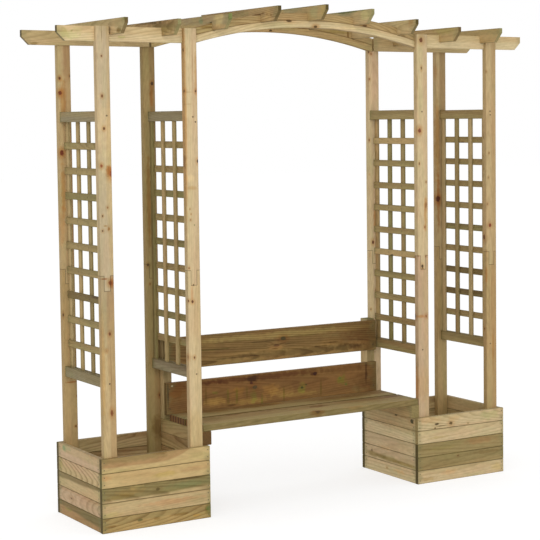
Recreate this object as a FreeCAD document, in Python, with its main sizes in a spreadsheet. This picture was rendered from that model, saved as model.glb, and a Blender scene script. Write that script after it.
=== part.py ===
import FreeCAD, Part
import os
import Sketcher

# Garden arbour seat in softwood: two planter boxes with four posts each, a bench with a
# backrest between them, trellis panels in the planters' sides, and a roof of straight beams,
# laminated arches and notched slats.  X runs along the bench, Y to the back, Z up.  The origin
# is on the ground, under the middle of the roof.  All sizes are in millimetres.

doc = FreeCAD.newDocument("ArbourSeat")
sheet = doc.addObject("Spreadsheet::Sheet", "Sizes")

SIZES = {
    "bench_opening": 1100,      # between the facing walls of the two planters
    "planter_length": 507,      # along the bench
    "planter_depth": 480,       # front to back
    "course_pitch": 63,         # height taken by one course of wall boards
    "course_gap": 1,            # open joint above each course
    "wall_thick": 22,
    "post_width": 60,
    "post_thick": 28,
    "post_height": 2110,
    "post_notch": 12,           # how deep the posts are cut to house the beams
    "splice_level": 1078,       # shoulders where the two lengths of a post meet
    "tongue_length": 64,        # tongue of the upper length, down into the lower one
    "tongue_width": 28,
    "splice_clearance": 0.5,    # beside and below the tongue in its slot
    "beam_height": 62,
    "beam_thick": 20,
    "beam_overhang": 140,       # past the planter's outer wall
    "beam_bevel": 34,
    "beam_gap": 10,             # between the end of a beam and the end of an arch
    "arch_rise": 79,
    "arch_bearing": 18,         # length of an arch end that stands in a post's notch
    "strip_height": 32,         # one of the two laminations of an arch
    "slat_thick": 16,
    "slat_height": 64,
    "slat_overhang": 115,       # past the front and back of the planters
    "slat_bevel": 42,
    "slat_stand": 30,           # height of a slat above the beam that it sits on
    "slat_clearance": 7,        # between an end slat and the outer post beside it
    "notch_clearance": 0.5,     # each side of a beam in the notch of a slat
    "trellis_base": 608,        # underside of the bottom rail
    "trellis_height": 1153,
    "rail_thick": 32,
    "rail_height": 44,
    "rail_inset": 6,            # behind the face of the posts
    "groove_depth": 10,
    "groove_offset": 21,
    "groove_clearance": 0.5,    # each side of an upright in its groove
    "lath_width": 30,
    "lath_thick": 7,
    "upright_margin": 8.5,      # between a panel's edge upright and the post
    "cross_margin": 87.5,       # between a rail and the nearest cross lath
    "bearer_width": 42,
    "bearer_height": 60,
    "seat_width": 166,          # width of the front seat board
    "seat_thick": 28,
    "seat_gap": 12,
    "seat_setback": 2,          # behind the front of the posts
    "seat_back_gap": 31,        # between the rear seat board and the back boards
    "bench_clearance": 4,       # between the ends of the bench boards and the posts
    "batten_depth": 60,
    "batten_rise": 5,           # above the upper back board
    "back_height": 145,         # height of one back board
    "back_thick": 20,
    "back_lift": 20,            # lower back board above the bearers
    "back_gap": 58,
    "cleat_size": 20,
    "floor_thick": 16,
    "floor_gap": 10,
    "floor_clearance": 1,       # between the floor boards and the walls
    "corner_ease": 2,           # eased long corners of the planed timber
    "cut_margin": 5,            # how far the outline of a cut runs past the timber
}
for row, (alias, size) in enumerate(SIZES.items(), start=1):
    sheet.set("A%d" % row, alias.replace("_", " "))
    sheet.set("B%d" % row, str(size))
    sheet.setAlias("B%d" % row, alias)
doc.recompute()

COURSES = 5
FLOOR_BOARDS = 4
UPRIGHTS = 4
CROSS_LATHS = 9
SLATS_EACH_SIDE = 4

pieces = []


def ref(text):
    """Turn bare size names into references to the cells of the sheet."""
    for alias in sorted(SIZES, key=len, reverse=True):
        text = text.replace("<" + alias + ">", "Sizes." + alias)
    return text


def value(text):
    """Work out an expression written with <size> names."""
    return float(sheet.evalExpression(ref(text)))


def place(item, base, turn=None):
    """Put a piece at a base point given as three expressions, turned about its own origin."""
    if turn:
        axis, angle = turn
        item.Placement = FreeCAD.Placement(FreeCAD.Vector(0, 0, 0), FreeCAD.Rotation(axis, angle))
    for axis_name, text in zip("xyz", base):
        item.setExpression("Placement.Base." + axis_name, ref(text))


def new_sketch(body, plane, name):
    """Start a sketch on one of the body's own origin planes."""
    sketch = body.newObject("Sketcher::SketchObject", name)
    support = [item for item in body.Origin.OriginFeatures if item.Role == plane][0]
    sketch.AttachmentSupport = [(support, "")]
    sketch.MapMode = "FlatFace"
    return sketch


def outline(sketch, corners):
    """Draw a closed outline and tie each corner to the sheet."""
    points = [FreeCAD.Vector(value(across), value(up), 0) for across, up in corners]
    count = len(points)
    for index in range(count):
        sketch.addGeometry(Part.LineSegment(points[index], points[(index + 1) % count]), False)
    for index in range(count):
        sketch.addConstraint(Sketcher.Constraint("Coincident", index, 2, (index + 1) % count, 1))
    for index, (across, up) in enumerate(corners):
        for kind, text, number, on_axis in (
            ("DistanceX", across, points[index].x, -2),
            ("DistanceY", up, points[index].y, -1),
        ):
            if text == "0":
                sketch.addConstraint(Sketcher.Constraint("PointOnObject", index, 1, on_axis))
            else:
                tie = sketch.addConstraint(Sketcher.Constraint(kind, -1, 1, index, 1, number))
                sketch.setExpression("Constraints[%d]" % tie, ref(text))


def rectangle(across, up):
    """Corners of a plain rectangle that starts at the sketch's origin."""
    return [("0", "0"), (across, "0"), (across, up), ("0", up)]


def eased(across, up):
    """Corners of a timber section with eased edges."""
    cut = "<corner_ease>"
    far = "%s - %s" % (across, cut)
    top = "%s - %s" % (up, cut)
    return [
        (cut, "0"), (far, "0"), (across, cut), (across, top),
        (far, up), (cut, up), ("0", top), ("0", cut),
    ]


def timber(label, plane, corners, length, base, turn=None, keep=True):
    """Saw one length of timber: a section on a plane, padded along X, Y or Z."""
    body = doc.addObject("PartDesign::Body", label)
    body.Label = label
    sketch = new_sketch(body, plane, label + "_section")
    outline(sketch, corners)
    pad = body.newObject("PartDesign::Pad", label + "_run")
    pad.Profile = sketch
    pad.setExpression("Length", ref(length))
    pad.Reversed = plane == "XZ_Plane"
    sketch.Visibility = False
    place(body, base, turn)
    if keep:
        pieces.append(body)
    return body, pad


def repeat(body, feature, role, count, reach):
    """Repeat a body's feature at even steps along one of its axes."""
    pattern = body.newObject("PartDesign::LinearPattern", body.Label + "_row")
    axis = [item for item in body.Origin.OriginFeatures if item.Role == role][0]
    pattern.Originals = [feature]
    pattern.Direction = (axis, [""])
    pattern.Occurrences = count
    pattern.setExpression("Length", ref(reach))
    body.Tip = pattern


X_AXIS = FreeCAD.Vector(1, 0, 0)
Y_AXIS = FreeCAD.Vector(0, 1, 0)
Z_AXIS = FreeCAD.Vector(0, 0, 1)
HALF_TURN = (Z_AXIS, 180)

# Levels and faces that several pieces share.
HALF_GAP = "<bench_opening> / 2"
OUTER_FACE = "(<bench_opening> / 2 + <planter_length>)"
INNER_POST = "(<bench_opening> / 2 + <wall_thick>)"
OUTER_POST = "(<bench_opening> / 2 + <planter_length> - <wall_thick> - <post_width>)"
POST_FRONT = "(<planter_depth> / 2 - <wall_thick>)"
POST_INSIDE = "(<planter_depth> / 2 - <wall_thick> - <post_thick>)"
CLEAR_DEPTH = "(<planter_depth> - 2 * <wall_thick> - 2 * <post_thick>)"
RIM = "(%d * <course_pitch> - <course_gap>)" % COURSES
BEARER_TOP = "(%s + <bearer_height>)" % RIM
BEAM_BASE = "(<post_height> - <beam_height>)"
BEAM_FACE = "(%s + <post_notch>)" % POST_INSIDE


# Planter boxes.  The front and back boards cover the ends of the side boards.
def planter_walls(side, left_edge, outer_edge, inner_edge):
    board = "<course_pitch> - <course_gap>"
    reach = "%d * <course_pitch>" % (COURSES - 1)
    for name, front_edge in (
        ("front", "-<planter_depth> / 2"),
        ("back", "<planter_depth> / 2 - <wall_thick>"),
    ):
        body, pad = timber(
            "planter_%s_%s_boards" % (side, name), "YZ_Plane", eased("<wall_thick>", board),
            "<planter_length>", (left_edge, front_edge, "0"))
        repeat(body, pad, "Z_Axis", COURSES, reach)
    for name, edge in (("outer", outer_edge), ("inner", inner_edge)):
        body, pad = timber(
            "planter_%s_%s_boards" % (side, name), "XZ_Plane", eased("<wall_thick>", board),
            "<planter_depth> - 2 * <wall_thick>", (edge, "-" + POST_FRONT, "0"))
        repeat(body, pad, "Z_Axis", COURSES, reach)


planter_walls("left", "-" + OUTER_FACE, "-" + OUTER_FACE, "-" + INNER_POST)
planter_walls("right", HALF_GAP, OUTER_FACE + " - <wall_thick>", HALF_GAP)


# Floors.  Boards lie across two cleats between the posts, with gaps for drainage.
def planter_floor(side, left_edge):
    width = "(%s - %d * <floor_gap>) / %d" % (CLEAR_DEPTH, FLOOR_BOARDS + 1, FLOOR_BOARDS)
    body, pad = timber(
        "planter_%s_floor_boards" % side, "YZ_Plane", rectangle(width, "<floor_thick>"),
        "<planter_length> - 2 * <wall_thick> - 2 * <floor_clearance>",
        (left_edge + " + <wall_thick> + <floor_clearance>", "-%s + <floor_gap>" % POST_INSIDE,
         "<cleat_size>"))
    repeat(body, pad, "Y_Axis", FLOOR_BOARDS,
           "%d * (%s + <floor_gap>)" % (FLOOR_BOARDS - 1, width))


planter_floor("left", "-" + OUTER_FACE)
planter_floor("right", HALF_GAP)

cleats = []
for number, edge in enumerate((
    "-%s + <wall_thick>" % OUTER_FACE,
    "-%s - <cleat_size>" % INNER_POST,
    INNER_POST,
    "%s - <wall_thick> - <cleat_size>" % OUTER_FACE,
), start=1):
    cleat = doc.addObject("Part::Box", "cleat_%d" % number)
    cleat.setExpression("Length", ref("<cleat_size>"))
    cleat.setExpression("Width", ref(CLEAR_DEPTH))
    cleat.setExpression("Height", ref("<cleat_size>"))
    place(cleat, (edge, "-" + POST_INSIDE, "0"))
    cleats.append(cleat)
floor_cleats = doc.addObject("Part::Compound", "planter_floor_cleats")
floor_cleats.Label = "planter_floor_cleats"
floor_cleats.Links = cleats
pieces.append(floor_cleats)


# Posts.  Each is two lengths, spliced: a tongue under the upper length stands in an open slot in
# the top of the lower one.  The top is notched on the side that faces the middle, for a beam.
TONGUE_LEFT = "(<post_width> / 2 - <tongue_width> / 2)"
TONGUE_RIGHT = "(<post_width> / 2 + <tongue_width> / 2)"


def cut(body, plane, name, corners, backwards=False):
    """Cut an outline right through a body, and check that it took something away."""
    whole = body.Tip
    sketch = new_sketch(body, plane, name)
    outline(sketch, corners)
    pocket = body.newObject("PartDesign::Pocket", name + "_cut")
    pocket.Profile = sketch
    pocket.Type = "ThroughAll"
    pocket.Reversed = backwards
    sketch.Visibility = False
    body.Tip = pocket
    doc.recompute()
    if pocket.Shape.Volume > whole.Shape.Volume - 1:
        raise RuntimeError("%s cut nothing" % name)


def post(label, left_edge, at_back):
    if at_back:
        across, near, turn = left_edge + " + <post_width>", POST_FRONT, HALF_TURN
    else:
        across, near, turn = left_edge, "-" + POST_FRONT, None
    section = eased("<post_width>", "<post_thick>")
    slot_floor = "<splice_level> - <tongue_length> - <splice_clearance>"
    slot_left = TONGUE_LEFT + " - <splice_clearance>"
    slot_right = TONGUE_RIGHT + " + <splice_clearance>"
    past_splice = "<splice_level> + <cut_margin>"

    lower, pad = timber(label + "_lower", "XY_Plane", section, "<splice_level>",
                        (across, near, "0"), turn, keep=False)
    cut(lower, "XZ_Plane", label + "_slot", [
        (slot_left, slot_floor), (slot_right, slot_floor),
        (slot_right, past_splice), (slot_left, past_splice),
    ])

    upper, pad = timber(label + "_upper", "XY_Plane", section, "<post_height> - <splice_level>",
                        (across, near, "<splice_level>"), turn, keep=False)
    tongue = new_sketch(upper, "XY_Plane", label + "_tongue_section")
    outline(tongue, [(TONGUE_LEFT, "0"), (TONGUE_RIGHT, "0"),
                     (TONGUE_RIGHT, "<post_thick>"), (TONGUE_LEFT, "<post_thick>")])
    drop = upper.newObject("PartDesign::Pad", label + "_tongue")
    drop.Profile = tongue
    drop.setExpression("Length", ref("<tongue_length>"))
    drop.Reversed = True
    tongue.Visibility = False
    upper.Tip = drop
    doc.recompute()

    near = "<post_thick> - <post_notch>"
    past_face = "<post_thick> + <cut_margin>"
    seat = "<post_height> - <beam_height> - <splice_level>"
    past_top = "<post_height> - <splice_level> + <cut_margin>"
    cut(upper, "YZ_Plane", label + "_notch", [
        (near, seat), (past_face, seat), (past_face, past_top), (near, past_top),
    ], backwards=True)

    spliced = doc.addObject("Part::Compound", label)
    spliced.Label = label
    spliced.Links = [lower, upper]
    pieces.append(spliced)


POSTS = {
    "left_outer": "-%s - <post_width>" % OUTER_POST,
    "left_inner": "-%s - <post_width>" % INNER_POST,
    "right_inner": INNER_POST,
    "right_outer": OUTER_POST,
}
for where, edge in POSTS.items():
    post("post_%s_front" % where, edge, False)
    post("post_%s_back" % where, edge, True)


# Trellis panels.  Uprights stand in grooves in the two rails, and the cross laths are nailed
# on their outer side.  An outer panel faces away from the bench, an inner panel towards it.
def trellis(where, faces_left):
    edge = POSTS[where]
    groove = "(<lath_thick> + 2 * <groove_clearance>)"
    if faces_left:
        rail_edge = "%s + <rail_inset>" % edge
        groove_edge = "<groove_offset>"
        upright_edge = "%s + <groove_offset> + <groove_clearance>" % rail_edge
        cross_edge = "%s - <lath_thick>" % upright_edge
    else:
        rail_edge = "%s + <post_width> - <rail_inset> - <rail_thick>" % edge
        groove_edge = "<rail_thick> - <groove_offset> - %s" % groove
        upright_edge = "%s + %s + <groove_clearance>" % (rail_edge, groove_edge)
        cross_edge = "%s + <lath_thick>" % upright_edge

    def rail(name, groove_at, base, turn=None):
        timber("trellis_%s_%s_rail" % (where, name), "XZ_Plane", [
            ("0", "0"), ("<rail_thick>", "0"), ("<rail_thick>", "<rail_height>"),
            ("%s + %s" % (groove_at, groove), "<rail_height>"),
            ("%s + %s" % (groove_at, groove), "<rail_height> - <groove_depth>"),
            (groove_at, "<rail_height> - <groove_depth>"),
            (groove_at, "<rail_height>"), ("0", "<rail_height>"),
        ], CLEAR_DEPTH, base, turn)

    rail("bottom", groove_edge, (rail_edge, "-" + POST_INSIDE, "<trellis_base>"))
    rail("top", "<rail_thick> - %s - (%s)" % (groove, groove_edge),
         (rail_edge + " + <rail_thick>", "-" + POST_INSIDE, "<trellis_base> + <trellis_height>"),
         (Y_AXIS, 180))

    body, pad = timber(
        "trellis_%s_uprights" % where, "XY_Plane", rectangle("<lath_thick>", "<lath_width>"),
        "<trellis_height> - 2 * <rail_height> + 2 * <groove_depth>",
        (upright_edge, "-%s + <upright_margin>" % POST_INSIDE,
         "<trellis_base> + <rail_height> - <groove_depth>"))
    repeat(body, pad, "Y_Axis", UPRIGHTS,
           "%s - 2 * <upright_margin> - <lath_width>" % CLEAR_DEPTH)

    body, pad = timber(
        "trellis_%s_cross_laths" % where, "XZ_Plane", rectangle("<lath_thick>", "<lath_width>"),
        "%s - 2 * <upright_margin>" % CLEAR_DEPTH,
        (cross_edge, "-%s + <upright_margin>" % POST_INSIDE,
         "<trellis_base> + <rail_height> + <cross_margin>"))
    repeat(body, pad, "Z_Axis", CROSS_LATHS,
           "<trellis_height> - 2 * <rail_height> - 2 * <cross_margin> - <lath_width>")


trellis("left_outer", True)
trellis("left_inner", False)
trellis("right_inner", True)
trellis("right_outer", False)


# Straight beams, from a gap beside the arch's end to the overhang, with a bevelled outer end.
BEAM_START = "(%s + <arch_bearing> + <beam_gap>)" % INNER_POST
BEAM_END = "(%s + <beam_overhang>)" % OUTER_FACE
BEAM_RUN = "(%s - %s)" % (BEAM_END, BEAM_START)
BEAM_SHAPE = [
    ("0", "0"), (BEAM_RUN + " - <beam_bevel>", "0"), (BEAM_RUN, "<beam_bevel>"),
    (BEAM_RUN, "<beam_height>"), ("0", "<beam_height>"),
]
for where, face in (("front", "-" + BEAM_FACE), ("back", BEAM_FACE + " - <beam_thick>")):
    timber("beam_right_" + where, "XZ_Plane", BEAM_SHAPE, "<beam_thick>",
           (BEAM_START, face, BEAM_BASE))
    timber("beam_left_" + where, "XZ_Plane", BEAM_SHAPE, "<beam_thick>",
           ("-" + BEAM_START, face + " + <beam_thick>", BEAM_BASE), HALF_TURN)

# Arches.  Each is two strips bent to one centre, trimmed level where it stands in the notches
# and square at the ends.  The inner radius follows from the span and the rise.
HALF_SPAN = INNER_POST
ARCH_RADIUS = "((%s * %s + <arch_rise> * <arch_rise>) / (2 * <arch_rise>))" % (HALF_SPAN, HALF_SPAN)
ARCH_CENTRE = "(%s + <arch_rise> - %s)" % (BEAM_BASE, ARCH_RADIUS)
ARCH_END = "(%s + <arch_bearing>)" % INNER_POST


def arch_strip(where, name, face, layer):
    label = "arch_%s_%s" % (where, name)
    body = doc.addObject("PartDesign::Body", label + "_bend")
    section = new_sketch(body, "YZ_Plane", label + "_section")
    radius = "%s + %d * <strip_height>" % (ARCH_RADIUS, layer)
    outline(section, [(across, "%s + %s" % (radius, up))
                      for across, up in eased("<beam_thick>", "<strip_height>")])
    bend = body.newObject("PartDesign::Revolution", label + "_sweep")
    bend.Profile = section
    bend.ReferenceAxis = (section, ["H_Axis"])
    bend.setExpression("Angle", ref("2 * asin((%s + 2 * <strip_height>) / %s)"
                                    % (ARCH_END, ARCH_RADIUS)))
    bend.Midplane = True
    section.Visibility = False
    place(body, ("0", face, ARCH_CENTRE))

    trim = doc.addObject("Part::Box", label + "_trim")
    trim.setExpression("Length", ref("2 * " + ARCH_END))
    trim.setExpression("Width", ref("<beam_thick> + 2 * <cut_margin>"))
    trim.setExpression("Height", ref("<arch_rise> + 3 * <strip_height>"))
    place(trim, ("-" + ARCH_END, face + " - <cut_margin>", BEAM_BASE))

    strip = doc.addObject("Part::Common", label)
    strip.Label = label
    strip.Base = body
    strip.Tool = trim
    pieces.append(strip)


for where, face in (("front", "-" + BEAM_FACE), ("back", BEAM_FACE + " - <beam_thick>")):
    arch_strip(where, "lower", face, 0)
    arch_strip(where, "upper", face, 1)


# Roof slats, on edge from front to back.  Two notches drop over the beams or the arches, and
# both lower corners are bevelled.  A slat on the arch stands on its higher edge.
SLAT_RUN = "(<planter_depth> + 2 * <slat_overhang>)"
NOTCH_TOP = "<slat_height> - <slat_stand>"
NOTCH_NEAR = "(%s / 2 - %s - <notch_clearance>)" % (SLAT_RUN, BEAM_FACE)
NOTCH_FAR = "(%s + <beam_thick> + 2 * <notch_clearance>)" % NOTCH_NEAR
SLAT_SHAPE = [
    ("<slat_bevel>", "0"),
    (NOTCH_NEAR, "0"), (NOTCH_NEAR, NOTCH_TOP), (NOTCH_FAR, NOTCH_TOP), (NOTCH_FAR, "0"),
    ("%s - %s" % (SLAT_RUN, NOTCH_FAR), "0"), ("%s - %s" % (SLAT_RUN, NOTCH_FAR), NOTCH_TOP),
    ("%s - %s" % (SLAT_RUN, NOTCH_NEAR), NOTCH_TOP), ("%s - %s" % (SLAT_RUN, NOTCH_NEAR), "0"),
    (SLAT_RUN + " - <slat_bevel>", "0"), (SLAT_RUN, "<slat_bevel>"), (SLAT_RUN, "<slat_height>"),
    ("0", "<slat_height>"), ("0", "<slat_bevel>"),
]
END_SLAT = "(%s - <slat_clearance> - <slat_thick> / 2)" % OUTER_POST
ARCH_TOP_RADIUS = "(%s + 2 * <strip_height>)" % ARCH_RADIUS

for number in range(-SLATS_EACH_SIDE, SLATS_EACH_SIDE + 1):
    centre = "%d * %s / %d" % (number, END_SLAT, SLATS_EACH_SIDE)
    if abs(value(centre)) < value(INNER_POST):
        inner = "(%d * %s / %d - <slat_thick> / 2)" % (abs(number), END_SLAT, SLATS_EACH_SIDE)
        if number == 0:
            inner = "0"
        carried = "%s + sqrt(%s * %s - %s * %s)" % (
            ARCH_CENTRE, ARCH_TOP_RADIUS, ARCH_TOP_RADIUS, inner, inner)
    else:
        carried = "<post_height>"
    timber("roof_slat_%d" % (number + SLATS_EACH_SIDE + 1), "YZ_Plane", SLAT_SHAPE, "<slat_thick>",
           (centre + " - <slat_thick> / 2", "-%s / 2" % SLAT_RUN,
            "%s - (%s)" % (carried, NOTCH_TOP)))


# Bench.  Bearers lie on the rims of the planters' inner walls, against the inner posts.
for side, edge in (("left", "-" + INNER_POST), ("right", INNER_POST + " - <bearer_width>")):
    timber("seat_bearer_" + side, "XZ_Plane", eased("<bearer_width>", "<bearer_height>"),
           "2 * " + POST_FRONT, (edge, "-" + POST_FRONT, RIM))
    timber("back_batten_" + side, "XY_Plane", eased("<bearer_width>", "<batten_depth>"),
           "<back_lift> + 2 * <back_height> + <back_gap> + <batten_rise>",
           (edge, POST_FRONT + " - <batten_depth>", BEARER_TOP))

BENCH_RUN = "2 * (%s - <bench_clearance>)" % INNER_POST
BENCH_EDGE = "<bench_clearance> - " + INNER_POST
BACK_FACE = "(%s - <batten_depth> - <back_thick>)" % POST_FRONT
REAR_SEAT_FRONT = "(<seat_setback> - %s + <seat_width> + <seat_gap>)" % POST_FRONT
for where, front, width in (
    ("front", "<seat_setback> - " + POST_FRONT, "<seat_width>"),
    ("back", REAR_SEAT_FRONT, "(%s - <seat_back_gap> - %s)" % (BACK_FACE, REAR_SEAT_FRONT)),
):
    timber("seat_board_" + where, "YZ_Plane", eased(width, "<seat_thick>"), BENCH_RUN,
           (BENCH_EDGE, front, BEARER_TOP))
for where, offset in (("lower", "0"), ("upper", "(<back_height> + <back_gap>)")):
    timber("back_board_" + where, "YZ_Plane", eased("<back_thick>", "<back_height>"), BENCH_RUN,
           (BENCH_EDGE, BACK_FACE,
            "%s + <back_lift> + %s" % (BEARER_TOP, offset)))

doc.recompute()

for item in doc.Objects:
    if "Invalid" in item.State or "Error" in item.State:
        raise RuntimeError("%s did not rebuild: %s" % (item.Label, item.State))
for piece in pieces:
    if piece.Shape.isNull() or not piece.Shape.isValid() or not piece.Shape.Solids:
        raise RuntimeError("%s has no valid solid" % piece.Label)

os.makedirs("parts", exist_ok=True)
for piece in pieces:
    piece.Shape.exportStep("parts/%s.step" % piece.Label)
    box = piece.Shape.BoundBox
    print("%-34s %2d solids  X %8.1f %8.1f  Y %7.1f %7.1f  Z %7.1f %7.1f" % (
        piece.Label, len(piece.Shape.Solids), box.XMin, box.XMax, box.YMin, box.YMax,
        box.ZMin, box.ZMax))
print(len(pieces), "pieces written")
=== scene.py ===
"""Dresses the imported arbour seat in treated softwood, with its nails, screws and staples.

The solids come from the frame and stay as they are. Each timber gets a finish that is worked out
from its own grain direction and its own place, so no two boards look alike.
"""

import logging
import math
from dataclasses import dataclass, field
from enum import Enum
from typing import Dict, List, Optional, Sequence, Tuple, Union

import bpy
from mathutils import Matrix, Vector

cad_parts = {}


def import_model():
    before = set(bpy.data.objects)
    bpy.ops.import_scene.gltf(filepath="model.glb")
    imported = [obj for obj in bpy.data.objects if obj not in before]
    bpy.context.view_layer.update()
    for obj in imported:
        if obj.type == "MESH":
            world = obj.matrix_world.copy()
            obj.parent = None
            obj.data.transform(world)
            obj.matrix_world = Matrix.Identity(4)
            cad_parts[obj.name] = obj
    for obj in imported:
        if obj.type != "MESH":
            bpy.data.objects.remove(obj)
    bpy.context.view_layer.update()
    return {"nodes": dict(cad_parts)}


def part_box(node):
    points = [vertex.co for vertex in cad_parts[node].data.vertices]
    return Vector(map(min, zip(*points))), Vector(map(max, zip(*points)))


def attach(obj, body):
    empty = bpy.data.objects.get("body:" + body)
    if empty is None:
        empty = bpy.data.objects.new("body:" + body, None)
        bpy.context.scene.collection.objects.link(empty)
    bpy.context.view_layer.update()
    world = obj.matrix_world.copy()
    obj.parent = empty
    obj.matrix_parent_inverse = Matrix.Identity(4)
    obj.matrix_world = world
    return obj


LOG = logging.getLogger("arbour_seat")

Socket = bpy.types.NodeSocket
Number = Union[float, Socket]
Colour = Tuple[float, float, float, float]
Point = Tuple[float, float, float]
Row = Tuple[Union[float, str], ...]

# Lengths are in metres, but for the rows of Face.
BODY = "root"
SIDES = ("left", "right")
WALLS = ("front", "back", "outer", "inner")
COURSES = 5
COURSE_GAP = 0.001
FLOOR_BOARDS = 4
FLOOR_GAP = 0.010
LATH_WIDTH = 0.030
STRIP_DEPTH = 0.032
ARCH_RADIUS = 2.1103  # of the underside of an arch
ARCH_CROWN = 2.127  # height of that underside's highest point
END_MARK = 0.002  # marks this near to a timber's end lie on its cut face
SEED_STEP = 3.17  # sets a board apart from the one before it in its node
SPLIT_SPAN, SLOPE_SPAN, WIDE_SPAN = 0.2, 2.0, 4.0  # what a colour table holds of a look's numbers
BUMP_STRENGTH, BUMP_DEPTH = 0.35, 0.0006
FIBRE_SHINE = 0.12  # how much less rough the raised fibres are
WOOD_SHEEN = 0.28
WHITE = (1.0, 1.0, 1.0, 1.0)
GRIME = "4A3620"
JOINT_TONE, JOINT_SHARE = "4C3C22", 0.8


def paint(code: str) -> Colour:
    """Turn a six-figure display colour into the linear colour that a shader takes.

    Args:
        code: Six hexadecimal figures, red first.

    Returns:
        Linear red, green and blue, with an alpha of 1.
    """
    shown = [int(code[i:i + 2], 16) / 255 for i in (0, 2, 4)]
    red, green, blue = (c / 12.92 if c <= 0.04045 else ((c + 0.055) / 1.055) ** 2.4 for c in shown)
    return (red, green, blue, 1.0)


def packed(value: float, span: float) -> float:
    """Bring a number within half a span of 0 into the range from 0 to 1."""
    return value / span + 0.5


class Axis(Enum):
    """A direction of the frame, by its place in a coordinate."""

    X = 0
    Y = 1
    Z = 2


class Tone(Enum):
    """The tones that treated softwood takes, from fresh sapwood to wet heartwood and cut ends."""

    CREAM = "D6C296"
    PALE_TAN = "CDB78C"
    TAN = "C0A87A"
    ROSE_TAN = "C2A683"
    HONEY = "B59A69"
    OLIVE = "A08C5C"
    MOSS = "8F8352"
    DARK_OLIVE = "7C6B40"
    UMBER = "8C6F45"
    GREY_BROWN = "8F8262"
    DEEP_BROWN = "5F4526"
    CHESTNUT = "9A7440"
    BARK_BROWN = "73502A"
    SAP_YELLOW = "C4A975"
    STRAW = "B3965F"
    CLAY = "A88558"
    GREY_OLIVE = "8A7A4C"
    BRONZE = "937543"
    BARK_OLIVE = "6C522B"
    END_BROWN = "644E28"
    END_RUST = "5A3C16"
    END_SAGE = "8C8658"
    END_TEAK = "7C5429"
    EDGE_GREEN = "5E5226"
    EDGE_BROWN = "7A5C34"
    END_DARK = "46390C"
    END_GREEN = "5C5728"
    END_TAN = "8C7849"

    @property
    def colour(self) -> Colour:
        """The tone as a linear colour."""
        return paint(self.value)


@dataclass(frozen=True)
class Look:
    """How one board was cut from its log.

    Attributes:
        light: Sapwood tone.
        dark: Heartwood tone.
        split: Where the heartwood starts, from the board's middle.
        slope: How far the split runs across for each metre along.
        seed: Number that sets the board apart from its neighbours. In a node of several boards the
            first look's seed serves them all.
        heart: How much of the dark tone the heartwood takes, from 0 to 1.
        end: Tone of the cut ends.
        bow: How much the split curves past the board's middle, for each metre along squared.
        figure: How boldly the growth rings show, about a half on most boards.
        taper: How far the rings shift across for each metre along; steep ones ripple.
    """

    light: Tone
    dark: Tone
    split: float = 0.0
    slope: float = 0.0
    seed: float = 0.0
    heart: float = 0.6
    end: Tone = Tone.END_GREEN
    bow: float = 0.0
    figure: float = 0.5
    taper: float = 0.04


@dataclass(frozen=True)
class Stain:
    """A patch of another shade on a timber, such as a damp streak or a green drip.

    Attributes:
        place: Middle of the patch.
        reach: Half its size in each direction.
        tint: What the wood's red, green and blue are multiplied by.
        ragged: How uneven its outline is, from 0 to 1.
    """

    place: Point
    reach: Point
    tint: Point
    ragged: float = 0.5


@dataclass(frozen=True)
class Knot:
    """A knot in a timber's face, at a place in the frame.

    Attributes:
        place: Middle of the knot.
        radius: Half its width across the grain.
        tone: Six-figure colour of its core.
        depth: How strongly it shows, from 0 to 1.
        halo: How strongly the wood round it is tinted, from 0 to 1.
        flat: Its length along the grain is its width divided by this.
    """

    place: Point
    radius: float
    tone: str
    depth: float = 0.9
    halo: float = 0.6
    flat: float = 0.75


Mark = Union[Knot, Stain]


@dataclass(frozen=True)
class Face:
    """A timber's face, whose marks are listed in millimetres and per cent.

    Attributes:
        axis: Which way it faces.
        level: Where it lies on that axis, in millimetres.
        deep: How far a stain on it reaches through the wood, in millimetres.
    """

    axis: Axis
    level: float
    deep: float = 20

    def _point(self, u: float, v: float, through: float) -> Point:
        """Put two lengths on the face and one through it in the frame's order, in metres."""
        parts = [u, v]
        parts.insert(self.axis.value, through)
        x, y, z = (part / 1000 for part in parts)
        return (x, y, z)

    def marks(self, *rows: Union[Mark, Row]) -> List[Mark]:
        """Turn rows into marks.

        Args:
            *rows: The marks, the lowest first. A knot's row has its middle, radius and tone, then
                its depth, halo and flatness where they aren't the usual ones. A stain's row has
                its middle, half its size, its tint and raggedness, then how deep it reaches where
                that isn't the face's own. A mark off the face is given in full.

        Returns:
            The marks in the same order.
        """
        made: List[Mark] = []
        for row in rows:
            if isinstance(row, (Knot, Stain)):
                made.append(row)
                continue
            place = self._point(row[0], row[1], self.level)
            if isinstance(row[3], str):
                made.append(Knot(place, row[2] / 1000, row[3], *(share / 100 for share in row[4:])))
            else:
                wide, high, *shares = row[2:8]
                *tint, ragged = (share / 100 for share in shares)
                deep = row[8] if len(row) > 8 else self.deep
                made.append(Stain(place, self._point(wide, high, deep), tuple(tint), ragged))
        return made


@dataclass(frozen=True)
class Lay:
    """Which way a timber runs, and how its node repeats it.

    Attributes:
        along: Direction of the grain.
        across: Direction of the wider face.
        through: The remaining direction.
        count: How many alike timbers the node holds.
        pitch: Step from one to the next, along the across direction.
        first: Middle of the first one, along the across direction.
        half_width: Half of one timber's width across.
    """

    along: Axis
    across: Axis
    through: Axis
    count: int = 1
    pitch: float = 1.0
    first: float = 0.0
    half_width: float = 0.03


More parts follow.
